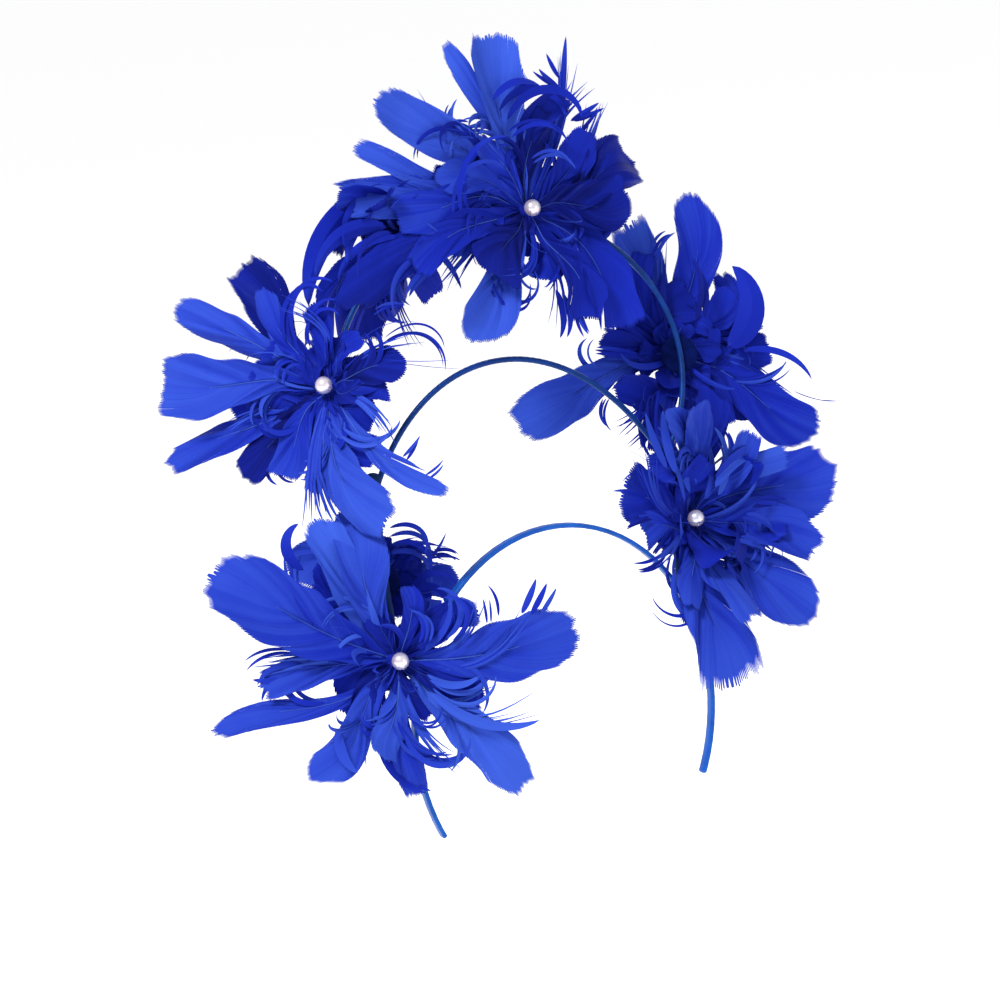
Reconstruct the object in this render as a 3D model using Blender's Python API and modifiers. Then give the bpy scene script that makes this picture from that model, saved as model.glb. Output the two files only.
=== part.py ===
# Feather-flower headband fascinator. Metres in, +Z up; X is the wearer's left, the wearer faces -Y.
# The origin is the inner face of the headband at the top of the head.
import bpy
import bmesh
import math
import numpy as np

mm = 0.001

# satin-covered headband: a flat strip bent round the head, in millimetres and degrees
bandHalfSpan = 76.9
bandDrop = 89.3
bandSweep = 118.0
bandWidth = 5.0
bandThickness = 2.2
bandEdge = 0.5

# halo of two covered wires in one leaning plane
wireRadius = 1.35
haloBack = 10.0
haloDown = -44.0
haloLean = 15.0
haloRoll = -4.3
junctionHeight = 70.0
junctionGap = 1.8
innerAcross = 92.0
innerUp = 122.0
outerTop = 190.0
outerAcross = 88.0
outerDrift = 8.0

# wrapped stems that carry the halo down to the headband
stemRadius = 2.8
junctionDrop = 0.95
seatGap = 0.3

# flowers: felt disc behind, feather petals round a glue hub, one pearl in the middle
discRadius = 9.0
discThickness = 1.5
hubRadius = 6.5
hubHalfHeight = 2.5
pearlRadius = 4.0
petalThickness = 1.2
hubDepth = wireRadius + seatGap + discThickness + seatGap + hubHalfHeight

# the quarter from which the petals are set out: across, up and towards it
quarterAzimuth = -26.0
quarterElevation = 11.1
quarterRoll = -6.3

# stem paths below the wires, mm: across (wearer's left), back, up
leftStemPath = [
    (79.6, 24.0, 6.0),
    (77.2, 18.5, -14.0),
    (74.2, 12.5, -32.0),
    (71.6, 7.2, -48.0),
    (73.4, 5.7, -61.0),
]
rightStemPath = [
    (-73.4, 23.0, 10.0),
    (-76.0, 17.5, -10.0),
    (-77.4, 12.0, -30.0),
    (-78.0, 8.2, -50.0),
    (-75.6, 5.7, -68.0),
]

# flower seats: carrier, place along it (degrees of the outer wire, or share of a stem),
# and the way the flower faces (across, up, towards the quarter)
flowerSeats = {
    "right_temple": ("right_stem", 0.76, (0.20, -0.05, 0.98)),
    "right_side": ("outer", -86.0, (-0.30, -0.45, 0.84)),
    "crown_front": ("outer", 8.0, (0.10, 0.15, 0.98)),
    "left_side": ("outer", 86.0, (-0.20, 0.00, -0.98)),
    "left_temple": ("left_stem", 0.40, (0.65, 0.00, 0.76)),
    "crown_right": ("outer", -29.0, (-0.10, 0.75, -0.65)),
    "right_back": ("right_stem", 0.41, (-0.30, 0.10, -0.95)),
}

# petals: tip across, tip up, rise along the facing, width, sideways bow, arch, turn (degrees), mm
petalRows = {
    "right_temple": [
        (77, 11, 8, 32, -4, 7, 0),
        (54, -58, 12, 20, 0, 8, 0),
        (64, -20, 14, 5, -16, 8, 0),
        (-8, -43, 14, 14, 3, 6, 0),
        (10, -60, 10, 13, -5, 6, 0),
        (30, -50, 16, 5, -7, 6, 0),
        (-37, -51, 8, 19, 2, 6, 0),
        (-17, -49, 4, 9, -8, 4, 30),
        (-85, -30, 4, 14, 4, 6, 20),
        (-66, -4, 6, 8, -4, 4, 0),
        (-78, 41, 8, 32, 3, 6, 0),
        (-27, 56, 12, 18, 3, 6, 0),
        (-8, 50, 16, 20, 4, 6, 0),
        (6, 33, 14, 12, -2, 6, 30),
    ],
    "right_side": [
        (-79, -1, 10, 27, 0, 6, 0),
        (-71, 36, 12, 19, -2, 6, 0),
        (-38, 51, 0, 20, 2, 4, 0),
        (-31, 42, 14, 14, 3, 4, 0),
        (-25, 39, 18, 5, -12, 4, 0),
        (-75, -32, 4, 15, 3, 4, 0),
        (-43, -38, 6, 16, 0, 5, 30),
        (-22, -40, 6, 16, -2, 5, -20),
        (-8, -44, 10, 13, 2, 4, 0),
        (23, -60, 14, 22, -9, 6, 0),
        (-5, -62, 10, 8, -3, 6, 0),
        (47, -48, 16, 11, -7, 6, 0),
        (30, 5, 8, 18, 3, 4, 0),
        (-6, 36, 6, 12, -2, 4, 0),
    ],
    "crown_front": [
        (-20, 77, 10, 27, 3, 6, 0),
        (-67, 47, 8, 22, -4, 6, 0),
        (-75, 30, 6, 10, 5, 4, 0),
        (18, 78, 12, 6, -6, 4, 0),
        (35, 53, 10, 8, -6, 4, 0),
        (20, 52, 16, 12, 13, 4, 0),
        (49, 22, 8, 27, -2, 6, 0),
        (38, 9, 14, 15, -2, 6, 0),
        (43, -55, 6, 24, 10, 6, 0),
        (27, -50, 12, 16, 4, 6, 0),
        (15, -55, 14, 5, 5, 6, 0),
        (-15, -35, 14, 5, 13, 4, 0),
        (-14, -32, 16, 20, -2, 6, 0),
        (-25, -58, 8, 25, 4, 6, 0),
        (-38, -39, 6, 9, -6, 4, 0),
        (-22, 29, 12, 14, -3, 6, 0),
    ],
    "left_side": [
        (-74, -28, 6, 24, 4, 6, 0),
        (-38, -2, 12, 7, -4, 4, 0),
        (10, 74, 8, 22, 6, 6, 0),
        (-22, 62, 10, 18, 3, 6, 0),
        (24, 40, 14, 16, 14, 4, 0),
        (41, -17, 12, 26, 3, 6, 0),
        (67, -38, 6, 24, -4, 6, 0),
        (-5, -47, 12, 10, 2, 4, 0),
        (-23, -45, 8, 8, -6, 4, 0),
        (20, -34, 16, 20, 0, 4, 0),
        (38, 22, 8, 24, 2, 6, 0),
    ],
    "left_temple": [
        (66, 21, 32, 28, 3, 6, 0),
        (59, -16, 30, 22, 8, 6, 0),
        (55, -45, 28, 24, 3, 6, 0),
        (16, -73, 18, 26, -4, 6, 0),
        (30, -41, 34, 16, 0, 4, 0),
        (-30, 13, 4, 28, 0, 4, 0),
        (-22, -6, 4, 26, 0, 4, 0),
        (2, 52, 26, 20, -4, 6, 0),
        (-20, 32, 24, 8, 8, 4, 0),
        (30, 41, 30, 12, -4, 6, 0),
        (2, -36, 16, 14, 3, 4, 0),
    ],
    "crown_right": [
        (-31, 12, 10, 20, 3, 4, 0),
        (-31, -4, 8, 18, 3, 4, 0),
        (-33, -43, 4, 16, 18, 4, 0),
        (-22, -44, 6, 22, 2, 4, 0),
        (-5, -36, 4, 20, 2, 4, 0),
        (20, -30, -2, 20, 0, 4, 0),
        (31, 5, 6, 20, 0, 4, 0),
        (-7, 25, 14, 16, 0, 0, 0),
    ],
    "right_back": [
        (-40, 5, 10, 20, 8, 4, 0),
        (-26, 21, 12, 16, 2, 4, 0),
        (-14, 33, 14, 18, 2, 4, 0),
        (31, 10, 8, 8, -10, 4, 0),
        (33, -1, 12, 16, 0, 4, 0),
        (29, -13, 10, 10, 0, 4, 0),
        (-3, -31, 14, 16, 2, 4, 0),
        (-25, -17, 14, 18, 0, 4, 0),
    ],
}

# share of the full width at places along a petal, root to tip
petalOutline = [
    (0.00, 0.16),
    (0.16, 0.22),
    (0.36, 0.54),
    (0.58, 0.88),
    (0.80, 1.00),
    (0.95, 0.86),
    (1.00, 0.62),
]
# narrow strips taper to a point instead
stripOutline = [
    (0.00, 0.50),
    (0.18, 0.80),
    (0.36, 1.00),
    (0.54, 1.00),
    (0.72, 0.80),
    (0.88, 0.55),
    (1.00, 0.25),
]
stripWidth = 9.5
stripLeastWidth = 1.4

colours = {
    "satin": (0.010, 0.060, 0.480),
    "wrap": (0.008, 0.022, 0.120),
    "feather": (0.012, 0.030, 0.560),
    "felt": (0.010, 0.016, 0.120),
    "pearl": (0.860, 0.820, 0.840),
}


def clearScene():
    for item in list(bpy.data.objects):
        bpy.data.objects.remove(item, do_unlink=True)


def makeMaterial(name, roughness):
    material = bpy.data.materials.new(name)
    material.use_nodes = True
    shader = material.node_tree.nodes["Principled BSDF"]
    shader.inputs["Base Color"].default_value = (*colours[name], 1.0)
    shader.inputs["Roughness"].default_value = roughness
    return material


def quarterAxes():
    # across, up and towards directions of the quarter, each a unit vector
    azimuth, elevation, roll = (math.radians(a) for a in (quarterAzimuth, quarterElevation, quarterRoll))
    across = np.array([math.cos(azimuth), math.sin(azimuth), 0.0])
    up = np.array([
        -math.sin(elevation) * math.sin(azimuth),
        math.sin(elevation) * math.cos(azimuth),
        math.cos(elevation),
    ])
    towards = np.array([
        math.sin(azimuth) * math.cos(elevation),
        -math.cos(azimuth) * math.cos(elevation),
        math.sin(elevation),
    ])
    turnedAcross = math.cos(roll) * across + math.sin(roll) * up
    turnedUp = -math.sin(roll) * across + math.cos(roll) * up
    return turnedAcross, turnedUp, towards


def haloPoints(across, up):
    # points of the leaning halo plane, mm, from distances across and up in it
    lean = math.radians(haloLean)
    roll = math.radians(haloRoll)
    x = across
    z = up * math.cos(lean)
    turnedX = x * math.cos(roll) - z * math.sin(roll)
    turnedZ = x * math.sin(roll) + z * math.cos(roll) + haloDown
    return np.stack([turnedX, up * math.sin(lean) + haloBack, turnedZ], axis=-1)


def innerPoints(count):
    # top part of an ellipse, cut where it meets the stems
    end = math.acos(junctionHeight / innerUp)
    angle = np.linspace(-end, end, count)
    across = (innerAcross - junctionGap) * np.sin(angle)
    return haloPoints(across, innerUp * np.cos(angle))


def outerEnd():
    half = innerAcross * math.sin(math.acos(junctionHeight / innerUp))
    return math.pi - math.asin(half / outerAcross)


def outerPoints(angle):
    # more than half of an oval, widest above the stems and drifting to the wearer's left
    end = outerEnd()
    halfHeight = (outerTop - junctionHeight) / (1.0 - math.cos(end))
    up = junctionHeight + halfHeight * (np.cos(angle) - math.cos(end))
    share = (up - junctionHeight) / (outerTop - junctionHeight)
    across = (outerAcross + junctionGap) * np.sin(angle) + outerDrift * share
    return haloPoints(across, up)


def smoothPath(rows, count):
    # curve through the rows by Catmull-Rom cubics, evenly spread by row
    rows = np.array(rows, dtype=float)
    padded = np.vstack([2 * rows[0] - rows[1], rows, 2 * rows[-1] - rows[-2]])
    places = np.linspace(0.0, len(rows) - 1.0, count)
    index = np.minimum(places.astype(int), len(rows) - 2)
    t = (places - index)[:, None]
    before, start, finish, after = (padded[index + k] for k in range(4))
    return 0.5 * (
        2 * start
        + (finish - before) * t
        + (2 * before - 5 * start + 4 * finish - after) * t ** 2
        + (3 * start - before - 3 * finish + after) * t ** 3
    )


def junctionStart(step):
    # where a stem starts: just below the ends of both wires, heading the way they point
    inner = innerPoints(361)[::step]
    outer = outerPoints(np.linspace(-outerEnd(), outerEnd(), 361))[::step]
    innerWay = (inner[0] - inner[1]) / np.linalg.norm(inner[0] - inner[1])
    outerWay = (outer[0] - outer[1]) / np.linalg.norm(outer[0] - outer[1])
    heading = (innerWay + outerWay) / np.linalg.norm(innerWay + outerWay)
    return (inner[0] + outer[0]) / 2 + heading * junctionDrop


def stemPoints(side, count):
    # centre line of a wrapped stem, from the wires down to the headband
    if side == "left_stem":
        rows = np.vstack([junctionStart(-1), leftStemPath])
    else:
        rows = np.vstack([junctionStart(1), rightStemPath])
    return smoothPath(rows, count)


def finishObject(item, name, material):
    item.name = name
    item.data.name = name
    item.data.materials.clear()
    item.data.materials.append(material)
    collection.objects.link(item)
    return item


def meshFromCurve(curve, name, material):
    # evaluated mesh of a curve, welded, as its own object
    holder = bpy.data.objects.new(name + "_curve", curve)
    bpy.context.scene.collection.objects.link(holder)
    bpy.context.view_layer.update()
    depsgraph = bpy.context.evaluated_depsgraph_get()
    mesh = bpy.data.meshes.new_from_object(holder.evaluated_get(depsgraph))
    bpy.data.objects.remove(holder, do_unlink=True)
    work = bmesh.new()
    work.from_mesh(mesh)
    bmesh.ops.remove_doubles(work, verts=work.verts, dist=1e-7)
    bmesh.ops.recalc_face_normals(work, faces=work.faces)
    work.to_mesh(mesh)
    work.free()
    return finishObject(bpy.data.objects.new(name, mesh), name, material)


def polyCurve(points, name, dimensions):
    curve = bpy.data.curves.new(name, "CURVE")
    curve.dimensions = dimensions
    spline = curve.splines.new("POLY")
    spline.points.add(len(points) - 1)
    for place, point in zip(spline.points, points):
        place.co = (*(point * mm), 1.0)
    return curve


def makeWire(points, radius, name, material):
    curve = polyCurve(points, name, "3D")
    curve.bevel_depth = radius * mm
    curve.bevel_resolution = 2
    curve.use_fill_caps = True
    return meshFromCurve(curve, name, material)


def makeHeadband(material):
    # strip bent round the head: a flat curve widened by its extrusion, then given thickness
    angle = np.radians(np.linspace(-bandSweep, bandSweep, 37))
    across = bandHalfSpan * np.sin(angle)
    down = bandDrop * (np.cos(angle) - 1.0) + bandThickness / 2
    points = np.stack([across, down, np.zeros_like(across)], axis=-1)
    curve = polyCurve(points, "headband", "2D")
    curve.extrude = bandWidth / 2 * mm
    curve.fill_mode = "NONE"
    item = meshFromCurve(curve, "headband", material)
    standing = np.array([[1.0, 0, 0], [0, 0, -1.0], [0, 1.0, 0]])
    for vertex in item.data.vertices:
        vertex.co = standing @ np.array(vertex.co)
    shell = item.modifiers.new("thickness", "SOLIDIFY")
    shell.thickness = bandThickness * mm
    shell.offset = 0.0
    edge = item.modifiers.new("edge", "BEVEL")
    edge.width = bandEdge * mm
    edge.segments = 1
    edge.limit_method = "ANGLE"
    edge.angle_limit = math.radians(50)
    return item


def ribbon(work, centres, sides, normals, widths, thickness):
    # closed flat strip: four corners at each station, capped at both ends
    rings = []
    for centre, side, normal, width in zip(centres, sides, normals, widths):
        corners = []
        for across, through in ((-0.5, -0.5), (0.5, -0.5), (0.5, 0.5), (-0.5, 0.5)):
            place = centre + side * width * across + normal * thickness * through
            corners.append(work.verts.new(place * mm))
        rings.append(corners)
    for first, second in zip(rings[:-1], rings[1:]):
        for k in range(4):
            after = (k + 1) % 4
            work.faces.new((first[k], first[after], second[after], second[k]))
    work.faces.new(rings[0][::-1])
    work.faces.new(rings[-1])


def petalStations(centre, facing, row, axes):
    # spine, side and normal directions and widths of one petal
    across, up, rise, width, bow, arch, turn = row
    acrossAxis, upAxis, towardsAxis = axes
    flat = across * acrossAxis + up * upAxis
    depth = (rise - flat @ facing) / (towardsAxis @ facing)
    tip = flat + depth * towardsAxis
    run = tip - rise * facing
    along = run / np.linalg.norm(run)
    sideways = np.cross(facing, along)
    outline = stripOutline if width < stripWidth else petalOutline
    share = np.array([place for place, _ in outline])
    swell = np.sin(math.pi * share)
    spine = (
        centre
        + share[:, None] * run
        + (rise * share ** 2 + arch * swell)[:, None] * facing
        + (bow * swell)[:, None] * sideways
    )
    tangent = np.gradient(spine, share, axis=0)
    tangent /= np.linalg.norm(tangent, axis=1)[:, None]
    normal = facing - (tangent @ facing)[:, None] * tangent
    normal /= np.linalg.norm(normal, axis=1)[:, None]
    side = np.cross(normal, tangent)
    angle = np.radians(turn * share)[:, None]
    turnedSide = np.cos(angle) * side + np.sin(angle) * normal
    turnedNormal = np.cos(angle) * normal - np.sin(angle) * side
    widths = np.maximum(width * np.array([part for _, part in outline]), stripLeastWidth)
    return spine, turnedSide, turnedNormal, widths


def seatOf(carrier, place, facing, axes):
    # point on the carrying wire and the facing made square to the wire there
    if carrier == "outer":
        angle = math.radians(place)
        before, point, after = outerPoints(np.array([angle - 0.01, angle, angle + 0.01]))
        carrierRadius = wireRadius
    else:
        fine = stemPoints(carrier, 401)
        index = int(round(place * 400))
        before, point, after = fine[index - 2], fine[index], fine[index + 2]
        carrierRadius = stemRadius
    tangent = (after - before) / np.linalg.norm(after - before)
    wanted = sum(part * axis for part, axis in zip(facing, axes))
    square = wanted - (wanted @ tangent) * tangent
    square /= np.linalg.norm(square)
    return point, square, tangent, carrierRadius - wireRadius


def orientation(facing, tangent):
    side = np.cross(tangent, facing)
    return np.stack([side, tangent, facing], axis=1)


def makeRound(name, material, centre, turn, build):
    # a primitive built round the origin, turned and moved to its seat
    work = bmesh.new()
    build(work)
    mesh = bpy.data.meshes.new(name)
    work.to_mesh(mesh)
    work.free()
    for vertex in mesh.vertices:
        vertex.co = turn @ np.array(vertex.co) + centre * mm
    return finishObject(bpy.data.objects.new(name, mesh), name, material)


def buildDisc(work):
    bmesh.ops.create_cone(
        work, cap_ends=True, segments=18, radius1=discRadius * mm,
        radius2=discRadius * mm, depth=discThickness * mm,
    )


def buildPearl(work):
    bmesh.ops.create_uvsphere(work, u_segments=12, v_segments=8, radius=pearlRadius * mm)


def buildHub(work):
    bmesh.ops.create_uvsphere(work, u_segments=14, v_segments=6, radius=hubRadius * mm)
    for vertex in work.verts:
        vertex.co.z *= hubHalfHeight / hubRadius


def makeFlower(name, seat, rows, axes, materials):
    carrier, place, facing = seat
    point, square, tangent, extra = seatOf(carrier, place, facing, axes)
    turn = orientation(square, tangent)
    centre = point + square * (hubDepth + extra)
    discCentre = centre - square * (hubHalfHeight + seatGap + discThickness / 2)
    pearlCentre = centre + square * (hubHalfHeight + seatGap + pearlRadius)
    makeRound(name + "_disc", materials["felt"], discCentre, turn, buildDisc)
    makeRound(name + "_pearl", materials["pearl"], pearlCentre, turn, buildPearl)
    feathers = makeRound(name + "_feathers", materials["feather"], centre, turn, buildHub)
    work = bmesh.new()
    for row in rows:
        ribbon(work, *petalStations(centre, square, row, axes), petalThickness)
    bmesh.ops.triangulate(work, faces=work.faces)
    bmesh.ops.recalc_face_normals(work, faces=work.faces)
    mesh = bpy.data.meshes.new(name + "_petals")
    work.to_mesh(mesh)
    work.free()
    petals = bpy.data.objects.new(name + "_petals", mesh)
    collection.objects.link(petals)
    petals.hide_render = True
    petals.display_type = "WIRE"
    joining = feathers.modifiers.new("petals", "BOOLEAN")
    joining.operation = "UNION"
    joining.solver = "EXACT"
    joining.use_self = True
    joining.object = petals
    bpy.context.view_layer.update()
    depsgraph = bpy.context.evaluated_depsgraph_get()
    fused = bpy.data.meshes.new_from_object(feathers.evaluated_get(depsgraph))
    feathers.modifiers.clear()
    feathers.data = fused
    fused.name = name + "_feathers"
    bpy.data.objects.remove(petals, do_unlink=True)
    bpy.data.meshes.remove(mesh)
    return feathers


clearScene()
collection = bpy.data.collections.new("feather_flower_fascinator")
bpy.context.scene.collection.children.link(collection)
materials = {
    "satin": makeMaterial("satin", 0.35),
    "wrap": makeMaterial("wrap", 0.55),
    "feather": makeMaterial("feather", 0.6),
    "felt": makeMaterial("felt", 0.95),
    "pearl": makeMaterial("pearl", 0.2),
}
axes = quarterAxes()
makeHeadband(materials["satin"])
makeWire(innerPoints(37), wireRadius, "inner_arc", materials["satin"])
makeWire(outerPoints(np.linspace(-outerEnd(), outerEnd(), 55)), wireRadius, "outer_arc", materials["satin"])
makeWire(stemPoints("left_stem", 15), stemRadius, "left_stem", materials["wrap"])
makeWire(stemPoints("right_stem", 15), stemRadius, "right_stem", materials["wrap"])
for flowerName, flowerSeat in flowerSeats.items():
    makeFlower(flowerName, flowerSeat, petalRows[flowerName], axes, materials)
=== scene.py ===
import math

import bpy
import numpy as np
from mathutils import Matrix


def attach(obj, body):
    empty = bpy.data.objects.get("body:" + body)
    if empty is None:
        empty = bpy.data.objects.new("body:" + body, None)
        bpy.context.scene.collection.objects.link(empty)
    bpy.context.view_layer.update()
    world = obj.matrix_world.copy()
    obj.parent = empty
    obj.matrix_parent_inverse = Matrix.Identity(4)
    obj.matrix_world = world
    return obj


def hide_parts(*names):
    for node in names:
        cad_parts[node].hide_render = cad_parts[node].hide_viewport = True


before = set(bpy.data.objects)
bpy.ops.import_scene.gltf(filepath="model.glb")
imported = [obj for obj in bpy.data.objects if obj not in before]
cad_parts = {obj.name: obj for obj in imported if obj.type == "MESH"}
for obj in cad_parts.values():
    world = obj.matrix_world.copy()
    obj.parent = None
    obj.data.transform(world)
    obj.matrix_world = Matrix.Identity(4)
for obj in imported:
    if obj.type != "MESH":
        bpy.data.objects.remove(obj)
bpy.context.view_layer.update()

print("frame in place:", len(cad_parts), "solids")

mm = 0.001
fullTurn = 2 * math.pi

# the front-right quarter that the flowers open towards, in degrees
quarter = {
    "azimuth": -26.0,
    "elevation": 11.1,
    "roll": -6.3,
}


def quarterAxes():
    # three unit directions of the quarter: across, up and towards it, the first two turned by the roll
    azimuth, elevation, roll = (math.radians(quarter[key]) for key in ("azimuth", "elevation", "roll"))
    across = np.array([math.cos(azimuth), math.sin(azimuth), 0.0])
    up = np.array([
        -math.sin(elevation) * math.sin(azimuth),
        math.sin(elevation) * math.cos(azimuth),
        math.cos(elevation),
    ])
    return (
        math.cos(roll) * across + math.sin(roll) * up,
        math.cos(roll) * up - math.sin(roll) * across,
        np.cross(across, up),
    )


acrossAxis, upAxis, towardsAxis = quarterAxes()


def unit(vectors):
    # each vector over its own length
    return vectors / np.maximum(np.linalg.norm(vectors, axis=-1, keepdims=True), 1e-9)


def squareTo(vectors, axis):
    # the vectors less their part along the axis, over their length
    return unit(vectors - np.sum(vectors * axis, axis=-1, keepdims=True) * axis)


def ease(low, high, value):
    # 0 below low, 1 above high, and 3 t squared less 2 t cubed between them
    t = np.clip((value - low) / (high - low), 0.0, 1.0)
    return t * t * (3.0 - 2.0 * t)


def smoothPath(rows, count):
    # curve through the rows by Catmull-Rom cubics, evenly spread by row
    rows = np.array(rows, dtype=float)
    padded = np.vstack([2 * rows[0] - rows[1], rows, 2 * rows[-1] - rows[-2]])
    places = np.linspace(0.0, len(rows) - 1.0, count)
    index = np.minimum(places.astype(int), len(rows) - 2)
    t = (places - index)[:, None]
    before, start, finish, after = (padded[index + k] for k in range(4))
    return 0.5 * (
        2 * start
        + (finish - before) * t
        + (2 * before - 5 * start + 4 * finish - after) * t ** 2
        + (3 * start - before - 3 * finish + after) * t ** 3
    )


def runLength(path):
    # distance gone along the path at each point
    steps = np.linalg.norm(np.diff(path, axis=0), axis=1)
    return np.concatenate([[0.0], np.cumsum(steps)])


def ringsRound(middle, radius, angle, side, normal):
    # a ring at each station: middle + radius (side cos a + normal sin a)
    return (
        middle[:, None]
        + (radius * np.cos(angle))[..., None] * side[:, None]
        + (radius * np.sin(angle))[..., None] * normal[:, None]
    )


# Shapes are kept as arrays: points in mm, quads, tris, the UV corners of each, a look for each point
# (tone, reach, pale, own shade) and a station number that tells slivers' long edges from the rest.
plainLook = (0.5, 0.5, 0.0, 0.5)


def joinShapes(shapes):
    # the arrays one after another, each shape's faces and stations moved on by the points before it
    starts = np.cumsum([0] + [len(shape["points"]) for shape in shapes])
    joined = {
        key: np.concatenate([shape[key] for shape in shapes])
        for key in ("points", "look", "quadUv", "triUv")
    }
    for key in ("quads", "tris"):
        joined[key] = np.concatenate([shape[key] + start for shape, start in zip(shapes, starts)])
    joined["station"] = np.concatenate([
        np.where(shape["station"] >= 0, shape["station"] + start, -1)
        for shape, start in zip(shapes, starts)
    ])
    return joined


def closedGrid(rings, first, last, look):
    # rings of points round a line, quads from ring to ring, and a fan to one point at each end
    count, around = rings.shape[:2]
    points = np.concatenate([rings.reshape(-1, 3), [first, last]])
    grid = np.arange(count * around).reshape(count, around)
    beside = np.roll(grid, -1, axis=1)
    quads = np.stack([grid[:-1], beside[:-1], beside[1:], grid[1:]], -1)
    k, m = np.meshgrid(np.arange(count - 1), np.arange(around), indexing="ij")
    quadUv = np.stack([
        np.stack([m, m + 1, m + 1, m], -1) / around,
        np.stack([k, k, k + 1, k + 1], -1) / (count - 1),
    ], -1)
    startFan = np.stack([np.full(around, grid.size), beside[0], grid[0]], -1)
    endFan = np.stack([np.full(around, grid.size + 1), grid[-1], beside[-1]], -1)
    fanAcross = np.stack([grid[0] + 0.5, grid[0] + 1, grid[0]], -1) / around
    startUv = np.stack([fanAcross, np.zeros((around, 3))], -1)
    endUv = np.stack([fanAcross[:, [0, 2, 1]], np.ones((around, 3))], -1)
    return {
        "points": points,
        "quads": quads.reshape(-1, 4),
        "tris": np.concatenate([startFan, endFan]),
        "quadUv": quadUv.reshape(-1, 4, 2),
        "triUv": np.concatenate([startUv, endUv]),
        "look": np.tile(np.array(look, dtype=float), (len(points), 1)),
        "station": np.full(len(points), -1),
    }


def slivers(left, right, crown, look, ordinal):
    # thin closed bodies side by side: a left, crown and right point at each station, three runs of
    # quads along each sliver and a triangle at each end; U is the sliver's ordinal, V its share gone
    count, steps = left.shape[:2]
    grid = np.arange(count * steps * 3).reshape(count, steps, 3)
    beside = np.roll(grid, -1, axis=2)
    quads = np.stack([grid[:, :-1], grid[:, 1:], beside[:, 1:], beside[:, :-1]], axis=-1).reshape(-1, 4)
    tris = np.concatenate([grid[:, 0], grid[:, -1, [0, 2, 1]]])
    across = np.broadcast_to(ordinal[:, None, None], (count, steps, 3))
    gone = np.broadcast_to(np.linspace(0, 1, steps)[None, :, None], (count, steps, 3))
    uv = np.stack([across, gone], axis=-1).reshape(-1, 2)
    return {
        "points": np.stack([left, crown, right], axis=2).reshape(-1, 3),
        "quads": quads,
        "tris": tris,
        "quadUv": uv[quads],
        "triUv": uv[tris],
        "look": np.repeat(look.reshape(-1, 4), 3, axis=0),
        "station": np.arange(count * steps).repeat(3),
    }


def placed(name, data):
    # an object of this data, linked into the scene
    item = bpy.data.objects.new(name, data)
    bpy.context.scene.collection.objects.link(item)
    return item


def addPiece(name, shape, material, nodeName):
    # puts the arrays into a mesh, marks slivers' long edges sharp, and seats the piece in the frame
    mesh = bpy.data.meshes.new(name)
    quads, tris = shape["quads"], shape["tris"]
    mesh.vertices.add(len(shape["points"]))
    mesh.vertices.foreach_set("co", (shape["points"] * mm).ravel())
    mesh.loops.add(quads.size + tris.size)
    mesh.loops.foreach_set("vertex_index", np.concatenate([quads.ravel(), tris.ravel()]))
    mesh.polygons.add(len(quads) + len(tris))
    starts = np.concatenate([np.arange(len(quads)) * 4, quads.size + np.arange(len(tris)) * 3])
    mesh.polygons.foreach_set("loop_start", starts)
    mesh.update(calc_edges=True)
    uv = mesh.uv_layers.new(name="run")
    uv.data.foreach_set("uv", np.concatenate([shape["quadUv"].ravel(), shape["triUv"].ravel()]))
    look = mesh.attributes.new("look", "FLOAT_COLOR", "POINT")
    look.data.foreach_set("color", shape["look"].ravel())
    ends = np.empty(len(mesh.edges) * 2, dtype=np.int32)
    mesh.edges.foreach_get("vertices", ends)
    station = shape["station"][ends.reshape(-1, 2)]
    sharp = mesh.attributes.new("sharp_edge", "BOOLEAN", "EDGE")
    sharp.data.foreach_set("value", (station[:, 0] >= 0) & (station[:, 0] != station[:, 1]))
    mesh.materials.append(material)
    item = placed(name, mesh)
    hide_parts(nodeName)
    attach(item, "root")


def newMaterial(name):
    # a material with its node tree and main shader
    material = bpy.data.materials.new(name)
    material.use_nodes = True
    return material, material.node_tree, material.node_tree.nodes["Principled BSDF"]


def feed(tree, node, values):
    # sets numbers and colours on the node's own inputs, and links anything else to them
    for key, value in values.items():
        if isinstance(value, (int, float)):
            node.inputs[key].default_value = value
        elif isinstance(value, tuple):
            node.inputs[key].default_value = (*value, 1.0)
        else:
            tree.links.new(value, node.inputs[key])


def addNode(tree, kind, values, **settings):
    # a node of this kind with its settings made and its inputs fed; gives its outputs
    node = tree.nodes.new("ShaderNode" + kind)
    for key, value in settings.items():
        setattr(node, key, value)
    feed(tree, node, values)
    return node.outputs


def noise(tree, scale, detail):
    # noise over the object's own coordinates
    place = addNode(tree, "TexCoord", {})["Object"]
    return addNode(tree, "TexNoise", {"Vector": place, "Scale": scale, "Detail": detail})[0]


def bump(tree, height, strength, distance):
    # relief from a height, distance in metres
    return addNode(tree, "Bump", {"Height": height, "Strength": strength, "Distance": distance})[0]


def between(tree, factor, low, high):
    # low where the factor is 0, high where it is 1
    return addNode(tree, "MapRange", {0: factor, "To Min": low, "To Max": high})[0]


def product(tree, first, second):
    return addNode(tree, "Math", {0: first, 1: second}, operation="MULTIPLY")[0]


def weighted(tree, parts):
    # the sum of the parts, each times its weight
    terms = [product(tree, part, weight) for part, weight in parts]
    level = terms[0]
    for term in terms[1:]:
        level = addNode(tree, "Math", {0: level, 1: term}, operation="ADD")[0]
    return level


def rampColour(tree, factor, stops):
    # colours run from place to place along the factor
    node = tree.nodes.new("ShaderNodeValToRGB")
    elements = node.color_ramp.elements
    while len(elements) < len(stops):
        elements.new(0.5)
    for element, (place, colour) in zip(elements, stops):
        element.position = place
        element.color = (*colour, 1.0)
    feed(tree, node, {0: factor})
    return node.outputs[0]


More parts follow.
